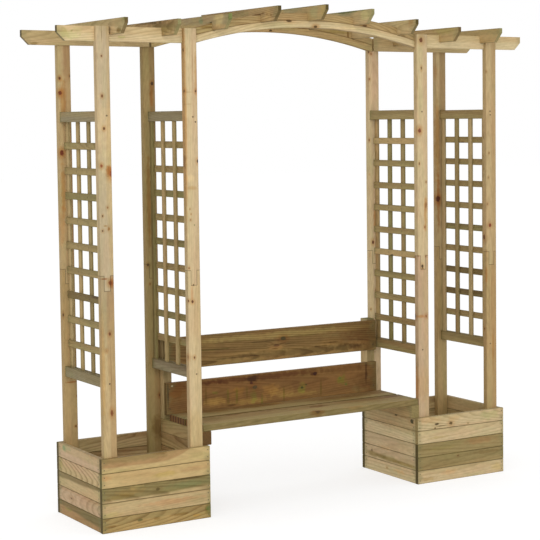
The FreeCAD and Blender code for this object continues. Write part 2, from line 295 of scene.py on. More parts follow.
@dataclass(frozen=True)
class Finish:
    """What all timbers of one kind share.

    Attributes:
        ring: Spacing of the growth rings.
        ring_strength: How dark the late wood shows.
        band_strength: How much groups of rings differ.
        blotch: How uneven the treatment took.
        mottle: How much the face varies from one finger's breadth to the next.
        rose: How much of the face has a rosy cast.
        green: How much of the face has a green cast.
        stain: How green the ends are.
        reach: How far a stain runs from an end.
        pin_knots: How many of the places for a small knot have one.
        rim: How dark the long edges are.
        rim_tone: Tone of the long edges.
        roughness: Roughness of the planed face.
    """

    ring: float = 0.0075
    ring_strength: float = 0.50
    band_strength: float = 0.75
    blotch: float = 0.45
    mottle: float = 0.22
    rose: float = 0.35
    green: float = 0.35
    stain: float = 0.45
    reach: float = 0.05
    pin_knots: float = 0.14
    rim: float = 0.65
    rim_tone: Tone = Tone.EDGE_GREEN
    roughness: float = 0.72


class Wiring:
    """Adds nodes to a tree and joins them up."""

    ROW_LENGTH = 14
    NODE_STEP = (170, -190)

    def __init__(self, tree: bpy.types.NodeTree) -> None:
        """Work on one tree.

        Args:
            tree: The shader or geometry tree to add to.
        """
        self.tree = tree
        self.steps = 0

    @classmethod
    def fresh(cls, owner: Union[bpy.types.Material, bpy.types.World]) -> "Wiring":
        """Start the tree of a material or a world, with no nodes in it."""
        owner.use_nodes = True
        owner.node_tree.nodes.clear()
        return cls(owner.node_tree)

    def node(self, kind: str, feeds: Optional[Dict[Union[str, int], object]] = None,
             **settings: object) -> bpy.types.Node:
        """Add a node, set its options and feed its inputs.

        Args:
            kind: The node's type name.
            feeds: Sources or plain values, by the input's name or number.
            **settings: Its options by name.

        Returns:
            The new node.
        """
        made = self.tree.nodes.new(kind)
        self.steps += 1
        row, column = divmod(self.steps, self.ROW_LENGTH)
        made.location = (self.NODE_STEP[0] * column, self.NODE_STEP[1] * row)
        for name, setting in settings.items():
            setattr(made, name, setting)
        for key, source in (feeds or {}).items():
            self.feed(made.inputs[key], source)
        return made

    def feed(self, socket: Socket, source: object) -> None:
        """Join a source to a socket, or set the socket to a plain value."""
        if isinstance(source, bpy.types.NodeSocket):
            self.tree.links.new(source, socket)
        else:
            socket.default_value = source

    def math(self, operation: str, a: Number, b: Number = 0.0, clamp: bool = False) -> Socket:
        """Work out one sum.

        Args:
            operation: The sum's name.
            a: First number.
            b: Second number, where the sum takes one.
            clamp: Whether the answer stays between 0 and 1.

        Returns:
            The answer's socket.
        """
        return self.node("ShaderNodeMath", {0: a, 1: b}, operation=operation, use_clamp=clamp).outputs[0]

    def plus(self, a: Number, b: Number, clamp: bool = False) -> Socket:
        """Add two numbers."""
        return self.math("ADD", a, b, clamp)

    def less(self, a: Number, b: Number) -> Socket:
        """Take the second number from the first."""
        return self.math("SUBTRACT", a, b)

    def times(self, a: Number, b: Number, clamp: bool = False) -> Socket:
        """Multiply two numbers."""
        return self.math("MULTIPLY", a, b, clamp)

    def scaled(self, value: Number, factor: Number, shift: Number = 0.0) -> Socket:
        """Multiply a number and add a shift to it."""
        return self.node("ShaderNodeMath", {0: value, 1: factor, 2: shift}, operation="MULTIPLY_ADD").outputs[0]

    def unpacked(self, value: Socket, span: float) -> Socket:
        """Bring a packed number back to its own range."""
        return self.scaled(value, span, -span / 2)

    def rise(self, value: Number, low: Number, high: Number) -> Socket:
        """Go smoothly from 0 at low to 1 at high, which may be the smaller."""
        return self.node("ShaderNodeMapRange", {0: value, 1: low, 2: high},
                         interpolation_type="SMOOTHSTEP").outputs[0]

    def mix(self, share: Number, a: object, b: object, blend: str = "MIX") -> Socket:
        """Mix two colours.

        Args:
            share: How much of the second, from 0 to 1.
            a: First colour.
            b: Second colour.
            blend: The way of mixing.

        Returns:
            The mixed colour's socket.
        """
        return self.node("ShaderNodeMix", {0: share, 6: a, 7: b}, data_type="RGBA", blend_type=blend,
                         clamp_factor=True).outputs[2]

    def tinted(self, colour: Socket, tint: object) -> Socket:
        """Multiply a colour by a tint."""
        return self.mix(1.0, colour, tint, "MULTIPLY")

    def vector(self, x: Number, y: Number, z: Number) -> Socket:
        """Put three numbers together."""
        return self.node("ShaderNodeCombineXYZ", {0: x, 1: y, 2: z}).outputs[0]

    def alike(self, value: Number) -> Socket:
        """Make a vector, or a grey, of one number."""
        return self.vector(value, value, value)

    def vectors(self, operation: str, a: Socket, b: object) -> Socket:
        """Work out one sum of two vectors."""
        return self.node("ShaderNodeVectorMath", {0: a, 1: b}, operation=operation).outputs["Vector"]

    def length(self, source: Socket) -> Socket:
        """Measure a vector."""
        return self.node("ShaderNodeVectorMath", {0: source}, operation="LENGTH").outputs["Value"]

    def split(self, source: Socket) -> List[Socket]:
        """Take a vector apart."""
        return list(self.node("ShaderNodeSeparateXYZ", {0: source}).outputs)

    def cloud(self, x: Number, y: Number, z: Number, detail: float) -> bpy.types.Node:
        """Add a noise node, at a place given in the noise's own steps."""
        return self.node("ShaderNodeTexNoise", {"Vector": self.vector(x, y, z), "Scale": 1.0, "Detail": detail})

    def noise(self, x: Number, y: Number, z: Number, detail: float = 2.0) -> Socket:
        """Smooth noise about a half, at a place given in its own steps."""
        return self.cloud(x, y, z, detail).outputs[0]

    def even_noise(self, position: Socket, steps: float, detail: float) -> Socket:
        """Smooth noise about a half, with so many steps to the metre every way."""
        return self.noise(*(self.times(part, steps) for part in self.split(position)), detail)

    def table(self, index: Socket, entries: Sequence[Colour]) -> Socket:
        """Pick one entry by a whole number.

        Args:
            index: Which entry, counted from 0.
            entries: The entries in order.

        Returns:
            The entry's socket.
        """
        made = self.node("ShaderNodeValToRGB", {0: self.scaled(index, 1 / len(entries), 0.5 / len(entries))})
        ramp = made.color_ramp
        ramp.interpolation = "CONSTANT"
        while len(ramp.elements) < len(entries):
            ramp.elements.new(1.0)
        for number, entry in enumerate(entries):
            ramp.elements[number].position = number / len(entries)
            ramp.elements[number].color = entry
        return made.outputs[0]

    def camera_sees(self) -> Socket:
        """Tell the camera's rays, also by way of a mirror or glass, from the rays of light."""
        path = self.node("ShaderNodeLightPath").outputs
        return self.math("MAXIMUM", path["Is Camera Ray"],
                         self.math("MAXIMUM", path["Is Glossy Ray"], path["Is Transmission Ray"]))


class GroupMaker:
    """Makes the shader groups that all timber finishes share, once each."""

    def __init__(self) -> None:
        """Make the four groups."""
        self.grain = self._grain()
        self.stain = self._stain()
        self.knot = self._knot()
        self.weather = self._weather()

    @staticmethod
    def _group(name: str, numbers: Sequence[str], colours: Sequence[str], vectors: Sequence[str] = (),
               also: Sequence[str] = ()) -> Tuple[Wiring, Dict[str, Socket], bpy.types.Node]:
        """Start a group with its sockets.

        Args:
            name: The group's name.
            numbers: Names of its number inputs.
            colours: Names of its colour inputs.
            vectors: Names of its vector inputs.
            also: Names of its number outputs, beside the colour.

        Returns:
            The wiring, the inputs by name, and the output node.
        """
        tree = bpy.data.node_groups.new(name, "ShaderNodeTree")
        for way, kind, names in (
            ("INPUT", "NodeSocketFloat", numbers), ("INPUT", "NodeSocketColor", colours),
            ("INPUT", "NodeSocketVector", vectors), ("OUTPUT", "NodeSocketColor", ("Color",)),
            ("OUTPUT", "NodeSocketFloat", also)):
            for socket in names:
                tree.interface.new_socket(socket, in_out=way, socket_type=kind)
        wiring = Wiring(tree)
        start = wiring.node("NodeGroupInput")
        return wiring, {s.name: s for s in start.outputs}, wiring.node("NodeGroupOutput")

    def _grain(self) -> bpy.types.NodeTree:
        """Growth rings, heartwood, fibres and small knots of one board."""
        w, g, out = self._group(
            "board_grain",
            ("Along", "Across", "Through", "Seed", "Split", "Slope", "Bow", "Heart", "Ring", "Figure", "Taper",
             "Ring Strength", "Band Strength", "Blotch", "Mottle", "Rose", "Green", "Pin Knots"),
            ("Light", "Dark"), also=("Height",))
        along, across, through = g["Along"], g["Across"], g["Through"]
        chance = w.node("ShaderNodeTexWhiteNoise", noise_dimensions="1D")
        w.feed(chance.inputs["W"], g["Seed"])
        first, second, third = w.split(chance.outputs["Color"])
        apart = w.times(g["Seed"], 7.31)

        wave = w.less(w.noise(w.scaled(along, 1.6, apart), w.scaled(across, 9.0, apart), w.times(through, 9.0)), 0.5)
        ripple = w.less(w.noise(w.scaled(along, 9.0, apart), w.times(across, 40.0), w.times(through, 40.0)), 0.5)
        off = w.less(across, w.scaled(first, 0.12, -0.06))
        deep = w.less(through, w.scaled(second, 0.05, 0.018))
        radius = w.math("SQRT", w.plus(w.times(off, off), w.times(deep, deep)))
        radius = w.plus(radius, w.times(w.plus(g["Taper"], w.scaled(third, 0.05, -0.025)), along))
        radius = w.scaled(ripple, 0.0035, w.scaled(wave, 0.030, radius))

        cells = w.node("ShaderNodeTexVoronoi", {
            "Vector": w.vector(w.scaled(along, 4.5, apart), w.scaled(across, 13.0, apart),
                               w.scaled(through, 13.0, apart)), "Scale": 1.0}, feature="F1")
        has_knot = w.math("LESS_THAN", w.split(cells.outputs["Color"])[0], g["Pin Knots"])
        swirl = w.times(w.rise(cells.outputs["Distance"], 0.34, 0.04), has_knot)
        core = w.times(w.rise(cells.outputs["Distance"], 0.095, 0.055), has_knot)
        radius = w.scaled(swirl, 0.010, radius)

        turns = w.math("DIVIDE", radius, g["Ring"])
        part = w.math("FRACT", turns)
        late = w.less(w.rise(part, 0.35, 0.88), w.rise(part, 0.90, 1.0))
        band = w.less(w.noise(w.scaled(turns, 0.30, apart), 0.37, 0.0, 1.0), 0.5)
        blotch = w.less(w.noise(
            w.scaled(along, 3.2, apart), w.scaled(across, 11.0, apart), w.times(through, 11.0), 3.0), 0.5)
        fibre = w.noise(w.times(along, 16.0), w.times(across, 620.0), w.times(through, 620.0))

        edge = w.less(w.less(across, w.times(g["Slope"], along)), g["Split"])
        past = w.math("MAXIMUM", along, 0.0)
        edge = w.less(edge, w.times(g["Bow"], w.times(past, past)))
        heart = w.times(w.rise(w.scaled(wave, 0.034, edge), -0.006, 0.006), g["Heart"])
        amount = w.plus(w.plus(heart, w.times(band, g["Band Strength"])), w.times(blotch, g["Blotch"]), clamp=True)
        colour = w.mix(amount, g["Light"], g["Dark"])
        cast = w.cloud(w.scaled(along, 3.6, apart), w.scaled(across, 20.0, 4.0), w.times(through, 20.0), 3.0)
        rosy, mossy, _ = w.split(cast.outputs["Color"])
        colour = w.mix(w.times(w.rise(rosy, 0.46, 0.66), g["Rose"]), colour,
                       w.tinted(colour, (1.02, 0.86, 0.84, 1.0)))
        colour = w.mix(w.times(w.rise(mossy, 0.48, 0.68), g["Green"]), colour,
                       w.tinted(colour, (0.80, 0.93, 0.78, 1.0)))
        bold = w.times(w.times(g["Ring Strength"], g["Figure"]), 2.0)
        lines = w.times(w.times(late, bold), w.scaled(band, 1.3, 0.62), clamp=True)
        colour = w.mix(lines, colour, w.tinted(colour, (0.50, 0.43, 0.33, 1.0)))
        colour = w.mix(w.times(swirl, 0.35), colour, paint("9A7545"))
        colour = w.mix(w.times(core, 0.8), colour, paint("5A3A20"))
        flecks = w.less(w.noise(
            w.scaled(along, 34.0, apart), w.scaled(across, 105.0, apart), w.times(through, 105.0), 3.0), 0.5)
        shade = w.plus(w.scaled(fibre, 0.22, 0.89), w.times(flecks, w.scaled(g["Mottle"], 2.0)))
        w.feed(out.inputs["Color"], w.tinted(colour, w.alike(shade)))
        w.feed(out.inputs["Height"], w.less(w.times(fibre, 0.5), w.times(late, 0.6)))
        return w.tree

    def _stain(self) -> bpy.types.NodeTree:
        """One patch of another shade, with a ragged outline, that lets the grain show."""
        w, g, out = self._group("single_stain", ("Ragged",), ("Color",), ("Position", "Place", "Reach", "Tint"))
        away = w.vectors("SUBTRACT", g["Position"], g["Place"])
        gap = w.length(w.vectors("DIVIDE", away, g["Reach"]))
        uneven = w.even_noise(g["Position"], 42.0, 4.0)
        share = w.rise(w.plus(gap, w.times(w.scaled(uneven, 3.2, -1.6), g["Ragged"])), 1.2, 0.4)
        w.feed(out.inputs["Color"], w.mix(share, g["Color"], w.vectors("MULTIPLY", g["Color"], g["Tint"])))
        return w.tree

    def _knot(self) -> bpy.types.NodeTree:
        """One knot, with a dark core, rings round it and a warm halo."""
        w, g, out = self._group("single_knot", ("Radius", "Depth", "Halo"), ("Color", "Core"),
                                ("Position", "Place", "Squeeze"))
        away = w.vectors("SUBTRACT", g["Position"], g["Place"])
        gap = w.length(w.vectors("MULTIPLY", away, g["Squeeze"]))
        ragged = w.even_noise(g["Position"], 150.0, 3.0)
        reach = w.plus(w.math("DIVIDE", gap, g["Radius"]), w.scaled(ragged, 1.1, -0.55))
        halo = w.times(w.rise(reach, 3.6, 0.8), g["Halo"])
        colour = w.mix(halo, g["Color"], w.vectors("MULTIPLY", g["Color"], (0.80, 0.55, 0.33)))
        core = w.times(w.rise(reach, 1.2, 0.75), g["Depth"])
        rings = w.scaled(w.math("SINE", w.times(reach, 9.0)), 0.14, 0.95)
        w.feed(out.inputs["Color"], w.mix(core, colour, w.tinted(g["Core"], w.alike(rings))))
        return w.tree

    def _weather(self) -> bpy.types.NodeTree:
        """Green stains near the ends, long edges and narrow faces darkened towards the rim tone, and dark cut ends.
        """
        w, g, out = self._group(
            "weathered_ends",
            ("Along", "Half Length", "Across", "Half Width", "Through", "End Face", "Seed", "Stain", "Reach",
             "Rim"), ("Color", "End Tone", "Rim Tone"))
        along, across = g["Along"], g["Across"]
        apart = w.times(g["Seed"], 3.7)
        patch = w.noise(w.scaled(along, 20.0, apart), w.scaled(across, 34.0, apart), w.times(g["Through"], 34.0), 3.0)
        from_end = w.less(g["Half Length"], w.math("ABSOLUTE", along))
        ragged = w.plus(w.math("DIVIDE", from_end, g["Reach"]), w.scaled(patch, 2.4, -1.2))
        colour = w.mix(w.times(w.rise(ragged, 1.0, 0.0), g["Stain"]), g["Color"], paint("75754A"))
        far = w.noise(w.scaled(along, 5.0, apart), w.scaled(across, 16.0, apart), 0.5, 3.0)
        spots = w.times(w.rise(far, 0.60, 0.74), w.times(g["Stain"], 0.55))
        colour = w.mix(spots, colour, paint("86834F"))
        # Darkens the last few millimetres of the long edges, and the whole of the narrow faces across, towards the
        # rim tone.
        from_edge = w.less(g["Half Width"], w.math("ABSOLUTE", across))
        rim = w.times(w.rise(from_edge, 0.0042, 0.0), w.scaled(patch, 1.3, 0.1))
        colour = w.mix(w.times(rim, g["Rim"]), colour, g["Rim Tone"])
        cut = w.rise(g["End Face"], 0.35, 0.95)
        lines = w.noise(w.times(across, 260.0), w.times(g["Through"], 90.0), apart)
        dark = w.tinted(g["End Tone"], w.alike(w.scaled(lines, 1.0, 0.5)))
        w.feed(out.inputs["Color"], w.mix(w.times(cut, 0.92), colour, dark))
        return w.tree


@dataclass(frozen=True)
class Splice:
    """The joint between a post's two lengths.

    Attributes:
        level: Height of the lower length's shoulders.
        tongue_length: How far the tongue reaches down from there.
        tongue_width: Its width.
        line: Half the width of the dark line along the joint.
    """

    level: float = 1.078
    tongue_length: float = 0.064
    tongue_width: float = 0.028
    line: float = 0.0016

    def region(self, w: Wiring, across: Socket, height: Socket) -> Tuple[Socket, Socket]:
        """Tell the upper length from the lower one.

        Args:
            w: The wiring to add to.
            across: Distance from the post's middle.
            height: Height above the ground.

        Returns:
            1 on the upper length and 0 on the lower, and the joint's dark line.
        """
        below = w.less(self.level, height)
        beside = w.less(w.math("ABSOLUTE", across), self.tongue_width / 2)
        under = w.less(self.level - self.tongue_length, height)
        outside = w.math("MINIMUM", below, w.math("MAXIMUM", beside, under))
        return w.math("LESS_THAN", outside, 0.0), w.rise(w.math("ABSOLUTE", outside), self.line, self.line * 0.3)


@dataclass(frozen=True)
class Bend:
    """The circle that a bent strip follows.

    Attributes:
        radius: From its centre to the middle of the strip.
        centre: Height of its centre above the ground.
    """

    radius: float
    centre: float


class Dresser:
    """Makes the finish of each timber and puts it on the timber's node."""

    def __init__(self, nodes: Dict[str, bpy.types.Object], groups: GroupMaker) -> None:
        """Work on the frame's nodes.

        Args:
            nodes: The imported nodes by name.
            groups: The shared shader groups.
        """
        self.nodes = nodes
        self.groups = groups

    @staticmethod
    def _use(w: Wiring, tree: bpy.types.NodeTree, **inputs: object) -> bpy.types.Node:
        """Place a shared group and feed it.

        Args:
            w: The finish being wired.
            tree: The group.
            **inputs: Sources or plain values by input; an underscore stands for a space.

        Returns:
            The group's node.
        """
        made = w.node("ShaderNodeGroup", node_tree=tree)
        for name, source in inputs.items():
            w.feed(made.inputs[name.replace("_", " ").title()], source)
        return made

    def _mark(self, w: Wiring, colour: Socket, position: Socket, lay: Lay, marks: Sequence[Mark]) -> Socket:
        """Lay knots and stains over a colour.

        Args:
            w: The finish being wired.
            colour: What the marks go over.
            position: The point being shaded.
            lay: Which way the timber runs.
            marks: The knots and stains, the lowest first.

        Returns:
            The colour with its marks.
        """
        for mark in marks:
            shared = {"color": colour, "position": position, "place": mark.place}
            if isinstance(mark, Stain):
                used = self._use(w, self.groups.stain, reach=mark.reach, tint=mark.tint, ragged=mark.ragged,
                                 **shared)
            else:
                squeeze = tuple(mark.flat if axis is lay.along else 1.0 for axis in Axis)
                used = self._use(w, self.groups.knot, squeeze=squeeze, radius=mark.radius, depth=mark.depth,
                                 halo=mark.halo, core=paint(mark.tone), **shared)
            colour = used.outputs[0]
        return colour

    @staticmethod
    def _locate(w: Wiring, places: Sequence[Socket], lay: Lay, box: Tuple[Vector, Vector],
                bend: Optional[Bend]) -> Tuple[Socket, Socket, Number, float]:
        """Find where on its timber the shaded point lies.

        Args:
            w: The finish being wired.
            places: The point's three coordinates.
            lay: Which way the timbers run.
            box: The node's low and high corner.
            bend: The circle that a bent strip follows.

        Returns:
            Its distances along and across from the timber's middle, the timber's number in its
            node, and half the timber's width.
        """
        low, high = box
        middle = (low + high) / 2
        run, side = lay.along.value, lay.across.value
        if bend:
            over, span = w.less(places[Axis.Z.value], bend.centre), places[Axis.X.value]
            reach = w.math("SQRT", w.plus(w.times(over, over), w.times(span, span)))
            along = w.times(w.math("ARCTAN2", span, over), bend.radius)
            return along, w.less(reach, bend.radius), 0.0, lay.half_width
        along = w.less(places[run], middle[run])
        if lay.count > 1:
            step = w.math("DIVIDE", w.less(places[side], lay.first), lay.pitch)
            index = w.math("MINIMUM", w.math("MAXIMUM", w.math("ROUND", step), 0.0), float(lay.count - 1))
            return along, w.times(w.less(step, index), lay.pitch), index, lay.half_width
        return along, w.less(places[side], middle[side]), 0.0, (high[side] - low[side]) / 2

    @staticmethod
    def _cut(w: Wiring, index: Number, looks: Sequence[Look]) -> Dict[str, object]:
        """Give the look of the shaded board.

        Args:
            w: The finish being wired.
            index: The board's number in its node.
            looks: One look for each board, in order.

        Returns:
            A colour or number for each attribute of a look.
        """
        if len(looks) == 1:
            look = looks[0]
            return {"light": look.light.colour, "dark": look.dark.colour, "end": look.end.colour,
                    "split": look.split, "slope": look.slope, "bow": look.bow, "heart": look.heart,
                    "seed": look.seed, "figure": look.figure, "taper": look.taper}
        light = w.table(index, [look.light.colour[:3] + (look.figure,) for look in looks])
        dark = w.table(index, [look.dark.colour[:3] + (packed(look.taper, WIDE_SPAN),) for look in looks])
        numbers = w.table(index, [(packed(look.split, SPLIT_SPAN), packed(look.slope, SLOPE_SPAN), look.heart,
                                   packed(look.bow, WIDE_SPAN)) for look in looks])
        split, slope, heart = w.split(numbers)
        return {"light": light, "figure": light.node.outputs["Alpha"], "dark": dark,
                "taper": w.unpacked(dark.node.outputs["Alpha"], WIDE_SPAN),
                "end": w.table(index, [look.end.colour for look in looks]),
                "split": w.unpacked(split, SPLIT_SPAN), "slope": w.unpacked(slope, SLOPE_SPAN), "heart": heart,
                "bow": w.unpacked(numbers.node.outputs["Alpha"], WIDE_SPAN),
                "seed": w.scaled(index, SEED_STEP, looks[0].seed)}

    def dress(self, name: str, lay: Lay, looks: Sequence[Look], finish: Finish, marks: Sequence[Mark] = (),
              splice: Optional[Splice] = None, bend: Optional[Bend] = None) -> None:
        """Give one node its finish.

        Args:
            name: The node.
            lay: Which way its timbers run.
            looks: One look for each timber, in order.
            finish: What timbers of its kind share.
            marks: Knots and stains at stated places.
            splice: Where a post's two lengths meet; the second look is the upper length's.
            bend: The circle that a bent strip follows.
        """
        low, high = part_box(name)
        middle, run = (low + high) / 2, lay.along.value
        half_length = (high[run] - low[run]) / 2
        material = bpy.data.materials.new(name + "_finish")
        w = Wiring.fresh(material)
        source = w.node("ShaderNodeTexCoord")
        position = source.outputs["Object"]
        places = w.split(position)
        along, across, index, half_width = self._locate(w, places, lay, (low, high), bend)
        through = w.less(places[lay.through.value], middle[lay.through.value])
        if splice:
            index, joint = splice.region(w, across, places[Axis.Z.value])
        cut = self._cut(w, index, looks)
        end_tone = cut.pop("end")
        grain = self._use(
            w, self.groups.grain, along=along, across=across, through=through, ring=finish.ring,
            ring_strength=finish.ring_strength, band_strength=finish.band_strength, blotch=finish.blotch,
            mottle=finish.mottle, rose=finish.rose, green=finish.green, pin_knots=finish.pin_knots, **cut)
        on_end = [mark for mark in marks if abs(mark.place[run] - middle[run]) > half_length - END_MARK]
        colour = self._mark(w, grain.outputs["Color"], position, lay, [m for m in marks if m not in on_end])
        colour = self._use(
            w, self.groups.weather, color=colour, along=along, half_length=half_length, across=across,
            half_width=half_width, through=through, seed=cut["seed"], stain=finish.stain, reach=finish.reach,
            end_face=w.math("ABSOLUTE", w.split(source.outputs["Normal"])[run]), rim=finish.rim,
            rim_tone=finish.rim_tone.colour, end_tone=end_tone).outputs[0]
        colour = self._mark(w, colour, position, lay, on_end)
        if splice:
            colour = w.mix(w.times(joint, JOINT_SHARE), colour, paint(JOINT_TONE))
        height = grain.outputs["Height"]
        bump = w.node("ShaderNodeBump", {"Strength": BUMP_STRENGTH, "Distance": BUMP_DEPTH, "Height": height})
        shader = w.node("ShaderNodeBsdfPrincipled", {
            "Base Color": colour, "Roughness": w.scaled(height, -FIBRE_SHINE, finish.roughness),
            "Specular IOR Level": WOOD_SHEEN, "Normal": bump.outputs[0]})
        w.node("ShaderNodeOutputMaterial", {0: shader.outputs[0]})
        for slot in self.nodes[name].material_slots:
            slot.material = material


class FixingShape(Enum):
    """The kinds of metal fixing."""

    NAIL = "nail"
    SCREW = "screw"
    STAPLE = "staple"


@dataclass(frozen=True)
class FixingSpot:
    """Where a fixing stands, and which way its head faces.

    Attributes:
        place: Where its head meets the wood.
        facing: Direction out of the wood.
    """

    place: Point
    facing: Point


@dataclass
class Fixings:
    """Nail heads, screw heads and staples, set over the timbers by geometry nodes.

    Attributes:
        nail_radius: Radius of a nail's head.
        nail_sides: How many sides stand for its round edge.
        screw_radius: Radius of a screw's head.
        crown: Length of a staple's crown.
        wire: Thickness of a staple's wire.
        staple_turn: How far a staple may turn, either way, in radians.
        rise: How far a head stands out of the wood.
        seed: Seed for the turns of the heads.
        spots: The marked fixings of each kind.
    """

    nail_radius: float = 0.0024
    nail_sides: int = 10
    screw_radius: float = 0.0038
    crown: float = 0.0095
    wire: float = 0.0012
    staple_turn: float = 0.35
    rise: float = 0.0004
    seed: int = 11
    spots: Dict[FixingShape, List[FixingSpot]] = field(
        default_factory=lambda: {shape: [] for shape in FixingShape})

    def add(self, shape: FixingShape, place: Sequence[float], facing: Sequence[float]) -> None:
        """Mark one fixing.

        Args:
            shape: Its kind.
            place: Where its head meets the wood.
            facing: Which way its head faces.
        """
        self.spots[shape].append(FixingSpot(tuple(place), tuple(facing)))

    @staticmethod
    def _metal(name: str, code: str, metallic: float, roughness: float) -> bpy.types.Material:
        """Make the metal of one kind of fixing, dull and a little uneven.

        Args:
            name: The material's name.
            code: Six-figure colour.
            metallic: How metallic it is.
            roughness: How rough it is.

        Returns:
            The material.
        """
        material = bpy.data.materials.new(name)
        w = Wiring.fresh(material)
        cloud = w.even_noise(w.node("ShaderNodeTexCoord").outputs["Object"], 420.0, 3.0)
        shader = w.node("ShaderNodeBsdfPrincipled", {
            "Base Color": w.mix(w.rise(cloud, 0.35, 0.7), paint(code), paint(GRIME)),
            "Roughness": w.scaled(cloud, 0.25, roughness - 0.12), "Metallic": metallic})
        w.node("ShaderNodeOutputMaterial", {0: shader.outputs[0]})
        return material

    @staticmethod
    def _screw_head() -> bpy.types.Object:
        """Model a screw's head of radius 1, with a cross recess, and keep it while the trees run."""
        arm, tip = 0.13, 0.62
        crest, recess, shoulder, base, shoulder_width = 0.16, -0.35, 0.06, -0.5, 0.98
        cross, quarter = [], [(arm, arm), (arm, tip), (-arm, tip)]
        for _ in range(4):
            cross += quarter
            quarter = [(-y, x) for x, y in quarter]
        cross.reverse()
        count = len(cross)
        angles = [math.atan2(y, x) for x, y in cross]
        rim = [(math.cos(angle), math.sin(angle)) for angle in angles]
        verts = [(x, y, crest) for x, y in cross] + [(x, y, recess) for x, y in cross]
        verts += [(x * shoulder_width, y * shoulder_width, shoulder) for x, y in rim]
        verts += [(x, y, base) for x, y in rim]
        faces: List[Tuple[int, ...]] = []
        for i in range(count):
            j = (i + 1) % count
            faces += [(2 * count + i, 2 * count + j, j, i), (j, count + j, count + i, i),
                      (3 * count + i, 3 * count + j, 2 * count + j, 2 * count + i)]
        faces.append(tuple(range(count, 2 * count))[::-1])
        faces.append(tuple(range(3 * count, 4 * count)))
        mesh = bpy.data.meshes.new("screw_head_shape")
        mesh.from_pydata(verts, [], faces)
        mesh.update()
        head = bpy.data.objects.new("screw_head_shape", mesh)
        bpy.context.scene.collection.objects.link(head)
        return head

    def _tree(self, shape: FixingShape, material: bpy.types.Material,
              head: Optional[bpy.types.Object]) -> bpy.types.NodeTree:
        """Build the geometry tree that sets one kind of fixing on marked points.

        Args:
            shape: The kind of fixing.
            material: Its metal.
            head: The modelled head, for a screw.

        Returns:
            The tree, with named inputs for its sizes and its seed.
        """
        tree = bpy.data.node_groups.new("set_%ss" % shape.value, "GeometryNodeTree")
        for name, way, kind in (("Geometry", "INPUT", "Geometry"), ("Head Size", "INPUT", "Float"),
                                ("Head Thickness", "INPUT", "Float"), ("Turn", "INPUT", "Float"),
                                ("Seed", "INPUT", "Int"), ("Geometry", "OUTPUT", "Geometry")):
            tree.interface.new_socket(name, in_out=way, socket_type="NodeSocket" + kind)
        w = Wiring(tree)
        marked, size, thickness, turn, seed = list(w.node("NodeGroupInput").outputs)[:5]
        if shape is FixingShape.NAIL:
            body = w.node("GeometryNodeMeshCylinder", {
                "Vertices": self.nail_sides, "Radius": size, "Depth": thickness}, fill_type="NGON")
        elif shape is FixingShape.STAPLE:
            body = w.node("GeometryNodeMeshCube", {"Size": w.vector(size, thickness, thickness)})
        else:
            read = w.node("GeometryNodeObjectInfo", {"Object": head})
            body = w.node("GeometryNodeTransform", {
                "Geometry": read.outputs["Geometry"], "Scale": w.alike(size)})
        facing = w.node("GeometryNodeInputNamedAttribute", {"Name": "facing"}, data_type="FLOAT_VECTOR")
        aim = w.node("FunctionNodeAlignRotationToVector", {"Vector": facing.outputs["Attribute"]}, axis="Z")
        chance = w.node("FunctionNodeRandomValue", {2: w.times(turn, -1.0), 3: turn, "Seed": seed},
                        data_type="FLOAT")
        spin = w.node("FunctionNodeRotateRotation", {
            "Rotation": aim.outputs["Rotation"], "Rotate By": w.vector(0.0, 0.0, chance.outputs[1])},
            rotation_space="LOCAL")
        points = w.node("GeometryNodeMeshToPoints", {"Mesh": marked})
        place = w.node("GeometryNodeInstanceOnPoints", {
            "Points": points.outputs[0], "Instance": body.outputs[0], "Rotation": spin.outputs["Rotation"]})
        real = w.node("GeometryNodeRealizeInstances", {"Geometry": place.outputs["Instances"]})
        dress = w.node("GeometryNodeSetMaterial", {"Geometry": real.outputs["Geometry"], "Material": material})
        w.node("NodeGroupOutput", {"Geometry": dress.outputs["Geometry"]})
        return tree

    def _set(self, shape: FixingShape, name: str, size: float, thickness: float, turn: float,
             material: bpy.types.Material, head: Optional[bpy.types.Object] = None) -> None:
        """Make all fixings of one kind as a plain mesh.

        Args:
            shape: The kind of fixing.
            name: The piece's name.
            size: Radius of its head, or length of its crown.
            thickness: How thick it is.
            turn: How far each may turn, either way, in radians.
            material: Its metal.
            head: The modelled head, for a screw.
        """
        scene, spots = bpy.context.scene.collection, self.spots[shape]
        marks = bpy.data.meshes.new(name + "_marks")
        marks.from_pydata([spot.place for spot in spots], [], [])
        facing = marks.attributes.new("facing", "FLOAT_VECTOR", "POINT")
        facing.data.foreach_set("vector", [part for spot in spots for part in spot.facing])
        carrier = bpy.data.objects.new(name + "_marks", marks)
        scene.objects.link(carrier)
        modifier = carrier.modifiers.new("fixings", "NODES")
        modifier.node_group = self._tree(shape, material, head)
        values = {"Head Size": size, "Head Thickness": thickness, "Turn": turn, "Seed": self.seed}
        for socket in modifier.node_group.interface.items_tree:
            if socket.name in values:
                modifier[socket.identifier] = values[socket.name]
        bpy.context.view_layer.update()
        seen = carrier.evaluated_get(bpy.context.evaluated_depsgraph_get())
        mesh = bpy.data.meshes.new_from_object(seen)
        mesh.name = name
        carrier.modifiers.clear()
        bpy.data.objects.remove(carrier)
        piece = bpy.data.objects.new(name, mesh)
        scene.objects.link(piece)
        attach(piece, BODY)
        LOG.info("%s: %d set, %d faces", name, len(spots), len(mesh.polygons))

    def build(self) -> None:
        """Make the three pieces of fixings."""
        head = self._screw_head()
        self._set(FixingShape.NAIL, "planter_nails", self.nail_radius, 2 * self.rise, math.pi,
                  self._metal("nail_metal", "6E6A52", 0.35, 0.6))
        self._set(FixingShape.SCREW, "timber_screws", self.screw_radius, self.rise, math.pi,
                  self._metal("screw_metal", "5A4A33", 0.45, 0.5), head)
        self._set(FixingShape.STAPLE, "lath_staples", self.crown, self.wire, self.staple_turn,
                  self._metal("staple_metal", "7A7561", 0.5, 0.5))
        bpy.data.objects.remove(head)


